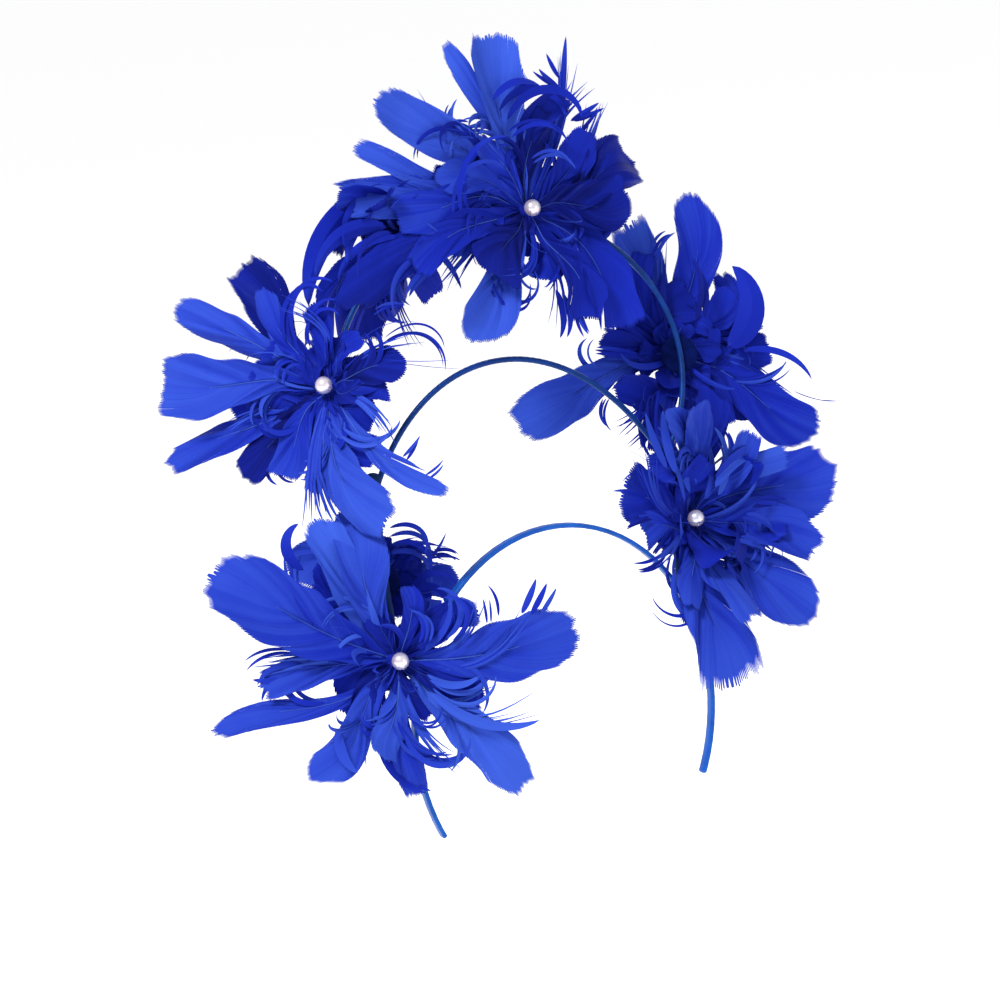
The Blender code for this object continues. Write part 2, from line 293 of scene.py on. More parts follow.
def mixColour(tree, factor, first, second):
    # first where the factor is 0, second where it is 1
    return addNode(tree, "Mix", {0: factor, 6: first, 7: second}, data_type="RGBA")[2]


# colours from deep to light, dye with painted light and shade in it, the quill's, the light let through,
# how rough, and how much of the level comes from the petal's tone (part dye, part painted light and
# shade), the place along it (painted shade at the root, painted light at the tip), the barb's own shade
# and slow clouds
featherFinish = {
    "shadow": (0.0038, 0.0068, 0.134),
    "body": (0.0105, 0.025, 0.435),
    "light": (0.048, 0.115, 0.660),
    "quill": (0.090, 0.190, 0.650),
    "through": (0.012, 0.045, 0.620),
    "throughShare": 0.25,
    "rough": (0.36, 0.62),
    "toneWeight": 0.68,
    # weight of the place along the petal: painted shade at the root, painted light at the tip
    "rootShadeTipLightWeight": 0.20,
    "ownWeight": 0.17,
    "cloudWeight": 0.14,
}


def featherMaterial():
    # tone by petal, part dye and part painted light and shade, painted shade darkening the root and
    # painted light on the tip, each barb a shade of its own, pale quills, and some light let through the
    # vane
    material, tree, shader = newMaterial("dyedFeatherPaintedLight")
    look = addNode(tree, "Attribute", {}, attribute_name="look")
    tone, reach, pale = addNode(tree, "SeparateColor", {0: look["Color"]})
    grain = noise(tree, 900.0, 2.0)
    level = weighted(tree, [
        (tone, featherFinish["toneWeight"]),
        (reach, featherFinish["rootShadeTipLightWeight"]),
        (look["Alpha"], featherFinish["ownWeight"]),
        (noise(tree, 45.0, 3.0), featherFinish["cloudWeight"]),
    ])
    # dye colour with the painted shade and painted light of tone and place along the petal
    dyeWithPaintedLight = rampColour(tree, level, [
        (0.10, featherFinish["shadow"]),
        (0.50, featherFinish["body"]),
        (0.94, featherFinish["light"]),
    ])
    normal = bump(tree, grain, 0.25, 0.0002)
    feed(tree, shader, {
        "Base Color": mixColour(tree, pale, dyeWithPaintedLight, featherFinish["quill"]),
        "Roughness": between(tree, grain, *featherFinish["rough"]),
        "IOR": 1.25,
        "Specular IOR Level": 0.25,
        "Specular Tint": (0.40, 0.58, 1.0),
        "Sheen Weight": 0.03,
        "Sheen Roughness": 0.4,
        "Sheen Tint": (0.35, 0.5, 1.0),
        "Normal": normal,
    })
    glow = mixColour(tree, 0.5, dyeWithPaintedLight, featherFinish["through"])
    through = addNode(tree, "BsdfTranslucent", {"Color": glow, "Normal": normal})[0]
    blend = {0: featherFinish["throughShare"], 1: shader.outputs[0], 2: through}
    feed(tree, tree.nodes["Material Output"], {"Surface": addNode(tree, "MixShader", blend)[0]})
    return material


# ribbons: deep and bright colour, threads round and along the run, roughness; the stem wrap's colours
# are much darker than the satins'
ribbonFinish = {
    "bandSatin": ((0.002, 0.032, 0.230), (0.010, 0.110, 0.520), (3, 260), 0.30),
    "wireSatin": ((0.001, 0.010, 0.085), (0.004, 0.042, 0.270), (3, 420), 0.28),
    "stemWrap": ((0.001, 0.007, 0.045), (0.003, 0.020, 0.130), (3, 90), 0.60),
}


def wovenMaterial(name):
    # satin or wrap: threads laid slantwise round the run, and slow changes of dye along it
    deep, bright, threads, roughness = ribbonFinish[name]
    material, tree, shader = newMaterial(name)
    run = addNode(tree, "UVMap", {}, uv_map="run")[0]
    laid = addNode(tree, "Mapping", {0: run, "Scale": threads})[0]
    waveInputs = {"Vector": laid, "Scale": 1.0, "Distortion": 0.6}
    wave = addNode(tree, "TexWave", waveInputs, bands_direction="DIAGONAL")[1]
    level = weighted(tree, [(noise(tree, 120.0, 3.0), 0.7), (wave, 0.3)])
    feed(tree, shader, {
        "Base Color": rampColour(tree, level, [(0.2, deep), (0.8, bright)]),
        "Roughness": between(tree, wave, roughness - 0.07, roughness + 0.10),
        "Specular Tint": (0.22, 0.50, 1.0),
        "Normal": bump(tree, wave, 0.35, 0.0001),
    })
    return material


feltFinish = {
    "deep": (0.001, 0.003, 0.030),
    "bright": (0.003, 0.009, 0.120),
    "roughness": 0.95,
}


def feltMaterial():
    # pressed fibres: two scales of noise for colour, and a rough matted surface
    material, tree, shader = newMaterial("navyFelt")
    fine = noise(tree, 1800.0, 4.0)
    level = product(tree, fine, noise(tree, 260.0, 3.0))
    feed(tree, shader, {
        "Base Color": rampColour(tree, level, [(0.10, feltFinish["deep"]), (0.45, feltFinish["bright"])]),
        "Roughness": feltFinish["roughness"],
        "Specular IOR Level": 0.12,
        "Specular Tint": (0.22, 0.45, 1.0),
        "Normal": bump(tree, fine, 0.8, 0.0004),
    })
    return material


pearlFinish = {
    "pink": (0.72, 0.54, 0.66),
    "white": (0.80, 0.74, 0.80),
    "blue": (0.60, 0.64, 0.84),
    "rough": (0.18, 0.30),
    "metal": 0.6,
}


def pearlMaterial():
    # white bead with a faint pink and blue bloom under a clear gloss
    material, tree, shader = newMaterial("pearlBead")
    bloom = noise(tree, 150.0, 2.0)
    feed(tree, shader, {
        "Base Color": rampColour(tree, bloom, [
            (0.30, pearlFinish["pink"]),
            (0.55, pearlFinish["white"]),
            (0.75, pearlFinish["blue"]),
        ]),
        "Roughness": between(tree, bloom, *pearlFinish["rough"]),
        "Metallic": pearlFinish["metal"],
        "Coat Weight": 1.0,
        "Coat Roughness": 0.04,
        "Normal": bump(tree, noise(tree, 2500.0, 1.0), 0.04, 0.0001),
    })
    return material


dyedFeatherPaintedLight = featherMaterial()
bandSatin, wireSatin, stemWrap = (wovenMaterial(name) for name in ribbonFinish)
navyFelt = feltMaterial()
pearlBead = pearlMaterial()
print("materials ready")


# the two covered wires of the halo, in one leaning plane, mm and degrees; room is what the
# ribbon's lap is let in by, and each wrap has its pitch, the lap's step and a slow swell
halo = {
    "wireRadius": 1.35,
    "back": 10.0,
    "down": -44.0,
    "lean": 15.0,
    "roll": -4.3,
    "junctionHeight": 70.0,
    "junctionGap": 1.8,
    "innerAcross": 92.0,
    "innerUp": 122.0,
    "outerTop": 190.0,
    "outerAcross": 88.0,
    "outerDrift": 8.0,
    "stations": 620,
    "around": 20,
    "room": 0.03,
    "wrap": {"pitch": 3.2, "step": 0.09, "swell": 0.015},
}


def haloPoints(across, up):
    # distances in the halo plane, leant back about X and rolled about Y, then set down and back
    lean, roll = math.radians(halo["lean"]), math.radians(halo["roll"])
    z = up * math.cos(lean)
    return np.stack([
        across * math.cos(roll) - z * math.sin(roll),
        up * math.sin(lean) + halo["back"],
        across * math.sin(roll) + z * math.cos(roll) + halo["down"],
    ], axis=-1)


def innerPoints(count):
    # top of an ellipse: across = a sin t and up = b cos t, cut where it meets the stems
    end = math.acos(halo["junctionHeight"] / halo["innerUp"])
    angle = np.linspace(-end, end, count)
    across = (halo["innerAcross"] - halo["junctionGap"]) * np.sin(angle)
    return haloPoints(across, halo["innerUp"] * np.cos(angle))


def outerEnd():
    # angle at which the outer oval has come in to the stems
    half = halo["innerAcross"] * math.sin(math.acos(halo["junctionHeight"] / halo["innerUp"]))
    return math.pi - math.asin(half / halo["outerAcross"])


def outerPoints(angle):
    # oval by sine and cosine of the angle, drifting to the wearer's left as it rises
    end = outerEnd()
    low, top = halo["junctionHeight"], halo["outerTop"]
    up = low + (top - low) * (np.cos(angle) - math.cos(end)) / (1.0 - math.cos(end))
    across = (halo["outerAcross"] + halo["junctionGap"]) * np.sin(angle)
    across = across + halo["outerDrift"] * (up - low) / (top - low)
    return haloPoints(across, up)


def outerRun(count):
    # the whole outer wire, evenly spread by angle
    return outerPoints(np.linspace(-outerEnd(), outerEnd(), count))


# stations added just inside both ends of a rod, mm, so that its rounding has points to bend on
endSteps = np.array([0.05, 0.15, 0.3, 0.5, 0.8, 1.1])


def coveredRod(path, reference, reach, corner, wrap, around):
    # A covered rod. Its normal is the reference less its part along the path, its side is square
    # to both. Each ring is a rounded oblong, of radius
    # (|cos a / reach0| to the corner + |sin a / reach1| to the corner) to the (-1 / corner),
    # raised by a ribbon's lap that falls from step to nothing over each pitch and winds round
    # the rod, with a slow swell, and drawn in at both ends like a quarter circle.
    distance = runLength(path)
    places = np.unique(np.concatenate([distance, endSteps, distance[-1] - endSteps]))
    path = np.stack([np.interp(places, distance, path[:, k]) for k in range(3)], axis=-1)
    distance = runLength(path)
    tangent = unit(np.gradient(path, axis=0))
    normal = squareTo(reference, tangent)
    angle = np.linspace(0.0, fullTurn, around, endpoint=False)
    radius = (
        np.abs(np.cos(angle) / reach[0]) ** corner + np.abs(np.sin(angle) / reach[1]) ** corner
    ) ** (-1.0 / corner)
    turns = distance[:, None] / wrap["pitch"] - angle / fullTurn
    gone = turns % 1.0
    lap = wrap["step"] * ease(0.0, 0.12, gone) * (1.0 - gone)
    drift = distance / 7.3 + 1.7 * np.sin(distance / 17.0)
    swell = wrap["swell"] * np.sin(drift[:, None] + angle)
    fromEnd = np.minimum(distance, distance[-1] - distance) / min(reach)
    closing = np.sqrt(1.0 - (1.0 - np.clip(fromEnd, 0.02, 1.0)) ** 2)
    size = (radius + lap + swell) * closing[:, None]
    rings = ringsRound(path, size, angle, np.cross(normal, tangent), normal)
    return closedGrid(rings, path[0] - tangent[0] * 0.01, path[-1] + tangent[-1] * 0.01, plainLook)


haloFoot = haloPoints(0.0, 0.0)
haloNormal = np.cross(haloPoints(1.0, 0.0) - haloFoot, haloPoints(0.0, 1.0) - haloFoot)
wireReach = (halo["wireRadius"] - halo["room"], halo["wireRadius"] - halo["room"])
for wireName, wirePath in (
    ("inner_arc", innerPoints(halo["stations"] // 2)),
    ("outer_arc", outerRun(halo["stations"])),
):
    wireRod = coveredRod(wirePath, haloNormal, wireReach, 2.0, halo["wrap"], halo["around"])
    addPiece(wireName + "_satin", wireRod, wireSatin, wireName)
print("halo wires covered")


# satin headband: half span and drop of its curve, sweep to each side, section, ribbon laps
headband = {
    "halfSpan": 76.9,
    "drop": 89.3,
    "sweep": 118.0,
    "width": 5.0,
    "thickness": 2.2,
    "corner": 4.0,
    "stations": 560,
    "around": 36,
    "room": 0.03,
    "wrap": {"pitch": 6.5, "step": 0.12, "swell": 0.02},
}


def headbandPath():
    # x = half span sin t, z = drop (cos t - 1), out by half the thickness
    angle = np.radians(np.linspace(-headband["sweep"], headband["sweep"], headband["stations"]))
    across = headband["halfSpan"] * np.sin(angle)
    height = headband["drop"] * (np.cos(angle) - 1.0) + headband["thickness"] / 2
    return np.stack([across, np.zeros_like(across), height], axis=-1)


bandReach = (headband["thickness"] / 2 - headband["room"], headband["width"] / 2 - headband["room"])
bandRod = coveredRod(
    headbandPath(), np.array([0.0, 1.0, 0.0]), bandReach,
    headband["corner"], headband["wrap"], headband["around"],
)
addPiece("headband_satin", bandRod, bandSatin, "headband")
print("headband covered")


# wrapped stems from the ends of the wires down to the band, mm: across (wearer's left), back, up;
# a sleeve of the same wrap reaches above and below each junction
stems = {
    "radius": 2.8,
    "drop": 0.95,
    "stations": 150,
    "around": 28,
    "room": 0.2,
    "wrap": {"pitch": 5.0, "step": 0.28, "swell": 0.12},
    "sleeveAbove": 7.0,
    "sleeveBelow": 4.0,
    "sleeveReach": (3.5, 2.1),
    "sleeveCorner": 2.4,
    "left_stem": [
        (79.6, 24.0, 6.0),
        (77.2, 18.5, -14.0),
        (74.2, 12.5, -32.0),
        (71.6, 7.2, -48.0),
        (73.4, 5.7, -61.0),
    ],
    "right_stem": [
        (-73.4, 23.0, 10.0),
        (-76.0, 17.5, -10.0),
        (-77.4, 12.0, -30.0),
        (-78.0, 8.2, -50.0),
        (-75.6, 5.7, -68.0),
    ],
}


def wireEnds(name, outerCount):
    # both wires, counted from the ends that this stem binds
    step = -1 if name == "left_stem" else 1
    return innerPoints(361)[::step], outerRun(outerCount)[::step]


def stemPoints(name, count):
    # starts between the ends of both wires and just below them, then follows its own places
    inner, outer = wireEnds(name, 361)
    heading = unit(unit(inner[0] - inner[1]) + unit(outer[0] - outer[1]))
    start = (inner[0] + outer[0]) / 2 + heading * stems["drop"]
    return smoothPath(np.vstack([start, stems[name]]), count)


def junctionSleeve(name):
    # the wrap carried up over the ends of both wires: a short wide rod along the line midway
    # between them, for which the outer wire is read three times as finely
    inner, outer = wireEnds(name, 1083)
    middle = smoothPath((inner[:22] + outer[:22])[::3] / 2, 24)
    below = middle[0] + unit(middle[0] - middle[1]) * stems["sleeveBelow"]
    path = smoothPath(np.vstack([below, middle[runLength(middle) < stems["sleeveAbove"]]]), 30)
    return coveredRod(
        path, haloNormal, stems["sleeveReach"], stems["sleeveCorner"], stems["wrap"], stems["around"],
    )


stemReach = (stems["radius"] - stems["room"], stems["radius"] - stems["room"])
for stemName in ("left_stem", "right_stem"):
    stemRod = coveredRod(
        stemPoints(stemName, stems["stations"]), np.array([1.0, 0.0, 0.0]), stemReach,
        2.0, stems["wrap"], stems["around"],
    )
    stemShape = joinShapes([stemRod, junctionSleeve(stemName)])
    addPiece(stemName + "_wrapped", stemShape, stemWrap, stemName)
print("stems wrapped")


# flower seats: carrier, place along it (degrees of the outer wire, or share of a stem),
# and the way the flower faces (across, up, towards the quarter)
flowerSeats = {
    "right_temple": ("right_stem", 0.76, (0.20, -0.05, 0.98)),
    "right_side": ("outer", -86.0, (-0.30, -0.45, 0.84)),
    "crown_front": ("outer", 8.0, (0.10, 0.15, 0.98)),
    "left_side": ("outer", 86.0, (-0.20, 0.00, -0.98)),
    "left_temple": ("left_stem", 0.40, (0.65, 0.00, 0.76)),
    "crown_right": ("outer", -29.0, (-0.10, 0.75, -0.65)),
    "right_back": ("right_stem", 0.41, (-0.30, 0.10, -0.95)),
}

# felt disc, glue hub and pearl of every flower, mm; the disc is trimmed by hand to a share of its
# radius with slow and quick waves (depth and number), the hub's ribs are depth, number and phase
heart = {
    "gap": 0.3,
    "discRadius": 9.0,
    "discThickness": 1.5,
    "discTrim": 0.99,
    "discCut": (0.012, 3),
    "discNicks": (0.006, 8),
    "discAround": 48,
    "hubRadius": 6.5,
    "hubHalfHeight": 2.5,
    "hubRibs": [(0.05, 11, 0.0), (0.03, 17, 1.0)],
    "hubAround": 66,
    "pearlRadius": 4.0,
    "pearlAround": 36,
}

# petals: tip across, tip up, rise along the facing, width, sideways bow, arch, mm, turn (degrees),
# its tone, from 0 and under, deep, to 1, light, part dye and part painted light and shade (dark where
# a petal lies in shade, light where light falls through it), and where it matters how loosely the tip
# frays and how it is cut, from small, square, past 1, pointed
petalRows = {"right_temple": [
    (78, 14, 8, 28, -4, 7, 0, 0.55, 0.02, 0.8),
    (57, -56, 12, 20, 0, 8, 0, 0.95),
    (64, -20, 14, 5, -16, 8, 0, 0.9),
    (-8, -43, 14, 14, 3, 6, 0, 0.7),
    (10, -60, 10, 13, -5, 6, 0, 0.45),
    (30, -50, 16, 5, -7, 6, 0, 0.7),
    (-37, -51, 8, 19, 2, 6, 0, 0.6),
    (-17, -49, 4, 9, -8, 4, 30, 0.4),
    (-79, -27, 4, 12, 7, 6, 20, 0.5),
    (-66, -4, 6, 8, -4, 4, 0, 0.7),
    (-78, 39, 8, 31, 3, 6, 0, 0.5, 0.03, 0.5),
    (-35, 62, 12, 18, 4, 6, 0, 0.85),
    (-17, 60, 15, 23, 5, 6, 0, 0.62),
    (6, 33, 14, 12, -2, 6, 30, 0.3),
], "right_side": [
    (-79, 3, 10, 28, 0, 6, 0, 0.6, 0.0, 0.75),
    (-71, 37, 12, 15, -2, 6, 0, 0.6, 0.0, 0.95),
    (-37, 55, 0, 24, 2, 4, 0, -0.15, 0.0, 0.8),
    (-31, 42, 14, 14, 3, 4, 0, 0.4),
    (-25, 39, 18, 5, -12, 4, 0, 0.4),
    (-75, -32, 4, 15, 3, 4, 0, 0.5),
    (-40, -40, 6, 20, 0, 5, 10, -0.2, 0.0, 0.7),
    (-22, -40, 6, 16, -2, 5, -20, 0.4),
    (-8, -44, 10, 13, 2, 4, 0, 0.5),
    (23, -60, 14, 22, -9, 6, 0, 0.7),
    (-5, -62, 10, 8, -3, 6, 0, 0.5),
    (50, -46, 16, 11, -7, 6, 0, 0.7, 0.0, 1.2),
    (34, 9, 8, 17, 3, 4, 0, -0.1, 0.0, 1.1),
    (-6, 36, 6, 12, -2, 4, 0, 0.3),
], "crown_front": [
    (-20, 78, 10, 28, 3, 6, 0, 0.85, 0.0, 0.5),
    (-70, 45, 8, 23, -5, 6, 0, 0.8, 0.0, 0.6),
    (-76, 28, 6, 11, 6, 4, 0, 0.7),
    (18, 78, 12, 6, -6, 4, 0, 0.45),
    (35, 53, 10, 8, -6, 4, 0, 0.5),
    (20, 52, 16, 14, 13, 4, 0, 0.0),
    (53, 27, 8, 27, -2, 6, 0, -0.1, 0.0, 0.7),
    (46, 9, 15, 25, -2, 6, 0, -0.15, 0.0, 0.7),
    (43, -55, 6, 26, 10, 6, 0, 0.2),
    (27, -50, 12, 21, 4, 6, 0, 0.1),
    (15, -55, 14, 5, 5, 6, 0, 0.3),
    (-15, -35, 14, 5, 13, 4, 0, 0.3),
    (-14, -33, 17, 26, -2, 6, 0, -0.15),
    (-25, -60, 8, 25, 0, 6, 0, 0.75, 0.0, 0.75),
    (-38, -39, 6, 9, -6, 4, 0, 0.4),
    (-22, 29, 12, 14, -3, 6, 0, 0.4),
], "left_side": [
    (-74, -32, 6, 24, 4, 6, 0, 0.75),
    (-38, -2, 12, 7, -4, 4, 0, 0.5),
    (6, 76, 8, 21, 6, 6, 0, 0.35, 0.0, 1.15),
    (-23, 64, 10, 21, 3, 6, 0, 0.8, 0.05, 0.45),
    (24, 40, 14, 16, 14, 4, 0, 0.3),
    (41, -17, 12, 26, 3, 6, 0, -0.05),
    (67, -38, 6, 24, -4, 6, 0, 0.35),
    (-5, -47, 12, 10, 2, 4, 0, 0.4),
    (-23, -45, 8, 8, -6, 4, 0, 0.4),
    (20, -34, 16, 20, 0, 4, 0, 0.0),
    (36, 20, 9, 20, 2, 6, 0, 0.12),
], "left_temple": [
    (71, 24, 32, 31, 3, 6, 0, 0.42, 0.02, 0.8),
    (59, -17, 30, 25, 8, 6, 0, 0.45, 0.0, 0.75),
    (58, -45, 28, 29, 3, 6, 12, 0.55, 0.0, 0.7),
    (20, -75, 18, 31, -4, 6, 22, 0.55, 0.1, 0.5),
    (30, -41, 34, 16, 0, 4, 15, 0.6),
    (-31, 15, 4, 26, 0, 4, 0, 0.3, 0.05),
    (-19, -7, 4, 20, 0, 4, 0, 0.4),
    (0, 53, 26, 21, -6, 6, -24, 0.5),
    (-20, 32, 24, 8, 8, 4, 0, 0.4),
    (30, 41, 30, 13, -4, 6, -15, 0.5),
    (2, -36, 16, 14, 3, 4, 20, 0.5),
], "crown_right": [
    (-30, 14, 10, 16, 8, 4, 0, 0.3),
    (-33, -8, 8, 16, 12, 4, 0, 0.0),
    (-29, -46, 4, 18, 22, 4, 0, 0.3),
    (-22, -44, 6, 22, 2, 4, 0, 0.0),
    (-5, -36, 4, 20, 2, 4, 0, 0.25),
    (13, -25, -2, 14, 0, 4, 0, 0.2),
    (31, 5, 6, 20, 0, 4, 0, 0.25),
    (-7, 25, 14, 16, 0, 0, 0, 0.2),
], "right_back": [
    (-40, 5, 10, 20, 8, 4, 0, 0.6),
    (-26, 21, 12, 16, 2, 4, 0, 0.65),
    (-14, 33, 14, 18, 2, 4, 0, 0.55),
    (31, 10, 8, 8, -10, 4, 0, 0.4),
    (33, -1, 12, 16, 0, 4, 0, 0.5),
    (29, -13, 10, 10, 0, 4, 0, 0.5),
    (-3, -31, 14, 16, 2, 4, 0, 0.4),
    (-25, -17, 14, 18, 0, 4, 0, 0.5),
]}

# loose strands and smaller petals that only the finished flowers have, same columns
strandRows = {"right_temple": [
    (46, -9, 10, 4, -14, 6, 0, 0.8),
    (-60, -10, 6, 15, -3, 5, 0, 0.5),
    (60, 24, 14, 5, -14, 6, 0, 0.5),
    (38, 34, 10, 5, -12, 4, 0, 0.5),
], "right_side": [
    (41, 17, 10, 4, 7, 4, 0, 0.5),
    (28, -22, 12, 6, 4, 4, 0, 0.6),
], "crown_front": [
    (-48, 54, 12, 5, 4, 4, 0, 0.7),
    (8, 46, 13, 18, 5, 5, 0, -0.15),
    (27, 36, 10, 17, -4, 5, 0, 0.15),
    (-41, 34, 12, 4, -13, 4, 0, 0.4),
    (28, 66, 8, 6, 5, 4, 0, 0.5),
    (-58, -6, 12, 20, -6, 6, 0, 0.35),
    (-82, -44, 8, 22, -10, 8, 0, 0.05),
    (-80, 0, 9, 20, -4, 5, 0, 0.55),
    (-84, 4, 5, 12, -6, 4, 0, 0.45),
    (-34, 74, 9, 10, -4, 4, 0, 0.75),
    (-50, -30, 10, 16, -6, 6, 0, 0.25),
    (-40, 12, 12, 16, -6, 6, 0, 0.5),
], "left_side": [
    (-7, 60, 14, 6, -3, 4, 0, 0.6),
    (-46, -12, 8, 14, 2, 4, 0, 0.6),
    (45, 4, 6, 19, 2, 5, 0, 0.18),
    (25, 31, 5, 16, 2, 4, 0, 0.18),
    (-13, -44, -2, 13, 3, 3, 0, 0.12),
    (-27, -38, -2, 8, -4, 3, 0, 0.3),
    (55, -19, 10, 5, -8, 4, 0, 0.4),
], "left_temple": [
    (-16, -18, 24, 5, 4, 4, 0, 0.6),
    (48, 30, 34, 12, 6, 4, 0, 0.7),
    (-12, 51, 30, 14, -12, 6, -24, 0.65, 0.0, 1.35),
    (10, 60, 18, 16, -3, 5, -24, 0.05),
    (6, -46, 8, 20, 2, 4, 20, 0.12),
], "crown_right": [
    (6, -50, -4, 5, 6, 4, 0, 0.3),
], "right_back": [
    (22, 16, 16, 5, -8, 4, 0, 0.5),
]}

# curled barbs that peel away from the petals: start across, up and rise, the bearing they start on,
# how far they bend (degrees, anticlockwise as the quarter sees them), length, width, number, tone
curlRows = {"right_temple": [
    (12, -11, 14, -40, 68, 58, 5.0, 1, 0.9),
    (14, -8, 13, -42, 140, 44, 2.4, 2, 0.85),
    (12, -5, 12, -34, 66, 27, 2.8, 2, 0.8),
    (20, 9, 12, 38, 155, 34, 2.8, 3, 0.55),
    (9, 7, 12, 62, 110, 22, 1.9, 3, 0.45),
    (40, 16, 10, 92, 10, 12, 1.2, 2, 0.35),
    (45, 19, 10, 85, 45, 16, 1.4, 1, 0.35),
    (55, 20, 10, 62, 10, 18, 3.0, 3, 0.45),
    (4, -26, 12, -74, 168, 50, 2.8, 2, 0.6),
    (1, -22, 12, -76, 82, 34, 2.2, 3, 0.35),
    (5, -20, 12, -64, 150, 26, 1.2, 3, 0.45),
    (-6, -34, 8, -68, 50, 34, 3.6, 2, 0.4),
    (-36, -5, 6, 168, 82, 31, 3.0, 2, 0.4),
    (-45, 4, 7, 176, 52, 24, 1.6, 2, 0.35),
    (-36, 5, 7, 170, -45, 17, 2.0, 2, 0.3),
    (-36, -9, 5, 182, -10, 29, 4.0, 1, 0.5),
    (-26, -28, 10, -86, 55, 24, 5.0, 1, 0.55),
    (-40, 40, 8, 155, -120, 28, 5.0, 1, 0.35),
], "right_side": [
    (-13, 16, 10, 112, -150, 50, 2.6, 3, 0.25),
    (-8, 16, 10, 104, -140, 34, 2.0, 2, 0.2),
    (23, 17, 10, 36, -120, 44, 1.5, 3, 0.2),
    (22, 12, 10, -8, 8, 38, 0.3, 2, 0.3),
    (5, -17, 12, -48, 112, 34, 2.6, 2, 0.75),
    (33, -32, 12, 50, 20, 13, 1.6, 2, 0.45),
    (43, -40, 12, 32, 30, 11, 1.4, 2, 0.45),
    (-22, -24, 4, 238, 110, 25, 2.6, 2, 0.2),
    (-7, -28, 8, 247, 100, 19, 3.2, 1, 0.2),
    (-28, -10, 6, 200, 15, 21, 0.9, 4, 0.5),
    (-4, -36, 12, -86, 25, 27, 1.6, 4, 0.55),
], "crown_front": [
    (-19, 25, 10, 130, 150, 48, 2.2, 3, 0.25),
    (-25, 37, 10, 160, 130, 23, 1.7, 2, 0.2),
    (-10, 38, 16, 62, -132, 52, 4.2, 3, 0.25),
    (-8, 31, 17, 52, -112, 36, 2.2, 2, 0.2),
    (17, 50, 9, 88, -3, 33, 3.0, 1, 0.35),
    (16, 58, 9, 158, -20, 16, 2.8, 2, 0.25),
    (16, 62, 9, 118, -10, 14, 2.2, 1, 0.3),
    (20, 42, 10, 30, 5, 19, 2.6, 3, 0.3),
    (24, 36, 10, 52, 5, 17, 1.8, 2, 0.3),
    (2, 20, 15, 42, -100, 28, 1.7, 2, 0.6),
    (-25, -6, 17, 100, -112, 58, 2.8, 3, 0.45),
    (-14, -28, 10, -82, 200, 43, 1.8, 3, 0.3),
    (-37, -25, 7, 214, 40, 25, 3.2, 2, 0.5),
    (-37, -23, 8, 170, 10, 10, 2.2, 2, 0.05),
    (13, -36, 12, -60, -60, 25, 3.2, 2, 0.2),
    (24, -43, 10, -76, 20, 15, 1.8, 4, 0.35),
    (-44, -22, 7, 200, 95, 44, 3.2, 1, 0.45),
    (-54, -46, 7, 172, 50, 17, 1.4, 2, 0.4),
    (-69, 9, 4, 226, 62, 68, 12.0, 1, 0.18),
    (-56, 6, 6, 206, 62, 50, 6.0, 2, 0.3),
    (-61, -11, 8, 180, 95, 52, 8.0, 1, 0.25),
    (-56, -15, 10, 188, 85, 42, 4.0, 2, 0.4),
], "left_side": [
    (22, 2, -5, 40, 104, 52, 13.0, 1, 0.16),
    (-10, 44, 0, 82, -60, 18, 1.8, 3, 0.5),
    (28, 2, -2, 8, -76, 42, 3.2, 1, 0.35),
    (-8, -14, -4, 252, 70, 50, 2.4, 4, 0.1),
    (-14, -3, -2, 168, 10, 26, 2.6, 3, 0.25),
    (-32, -20, 0, 240, 80, 18, 1.2, 3, 0.45),
    (8, 14, -6, 76, 50, 34, 4.0, 2, 0.1),
    (-4, 12, -5, 102, -30, 30, 3.0, 2, 0.05),
    (20, -34, 0, -60, -70, 24, 1.8, 3, 0.3),
    (56, -16, 8, -30, 40, 26, 0.3, 2, 0.2),
], "left_temple": [
    (-1, 6, 12, 98, 58, 42, 5.0, 3, 0.6),
    (-5, 20, 16, 108, -24, 32, 5.0, 2, 0.6),
    (7, 9, 18, 50, 92, 42, 6.0, 2, 0.7),
    (12, 14, 20, 62, -46, 36, 4.5, 2, 0.65),
    (30, 20, 22, 56, -32, 24, 1.4, 3, 0.5),
    (30, 6, 22, 10, -22, 25, 2.4, 3, 0.15),
    (24, 1, 20, 2, -132, 38, 2.8, 2, 0.4),
    (20, -9, 18, -8, -32, 26, 2.4, 3, 0.5),
    (-3, -18, 10, 262, 152, 42, 3.6, 2, 0.5),
    (-5, -14, 8, 250, 142, 30, 2.6, 2, 0.45),
    (-16, 1, 6, 190, 20, 18, 1.6, 3, 0.1),
    (-10, -14, 6, 215, -30, 21, 1.8, 3, 0.25),
    (18, -17, 16, -62, 32, 30, 3.8, 2, 0.5),
], "right_back": [
    (4, 12, -4, 24, -142, 36, 2.8, 4, 0.45),
    (14, -15, -4, 96, -190, 40, 4.0, 2, 0.3),
    (22, 10, -4, 20, -60, 16, 1.4, 4, 0.15),
], "crown_right": [
    (-18, -30, 0, 250, 40, 30, 3.0, 3, 0.25),
    (-10, -26, 0, 262, 70, 26, 2.0, 3, 0.2),
]}

# how a petal is made: rim to each barb in mm, stations on a barb, where barbs leave the quill and
# meet the rim, how far the rim reaches and ripples, the base's share of the width, a barb's crown,
# how far it laps its neighbour, where it narrows and to what share, how much each tuft draws together
# and sways, folds and streaks on each hand, and below which width a row is a bunch of loose barbs
petal = {
    "barbPitch": 1.02,
    "stations": (0.0, 0.14, 0.28, 0.43, 0.58, 0.73, 0.86, 0.95, 1.0),
    "rootShare": 0.03,
    "quillShare": 0.64,
    "firstRim": 0.18,
    "shoulder": 0.82,
    "reach": 1.035,
    "shoulderShare": 0.66,
    "ripple": 0.06,
    "base": 0.17,
    "crown": 0.024,
    "overlap": 1.12,
    "narrowFrom": 0.965,
    "tipShare": 0.52,
    "draw": 0.009,
    "sway": 0.003,
    "folds": 12,
    "streaks": 16,
    "quillRadius": 0.28,
    "stripWidth": 9.5,
}
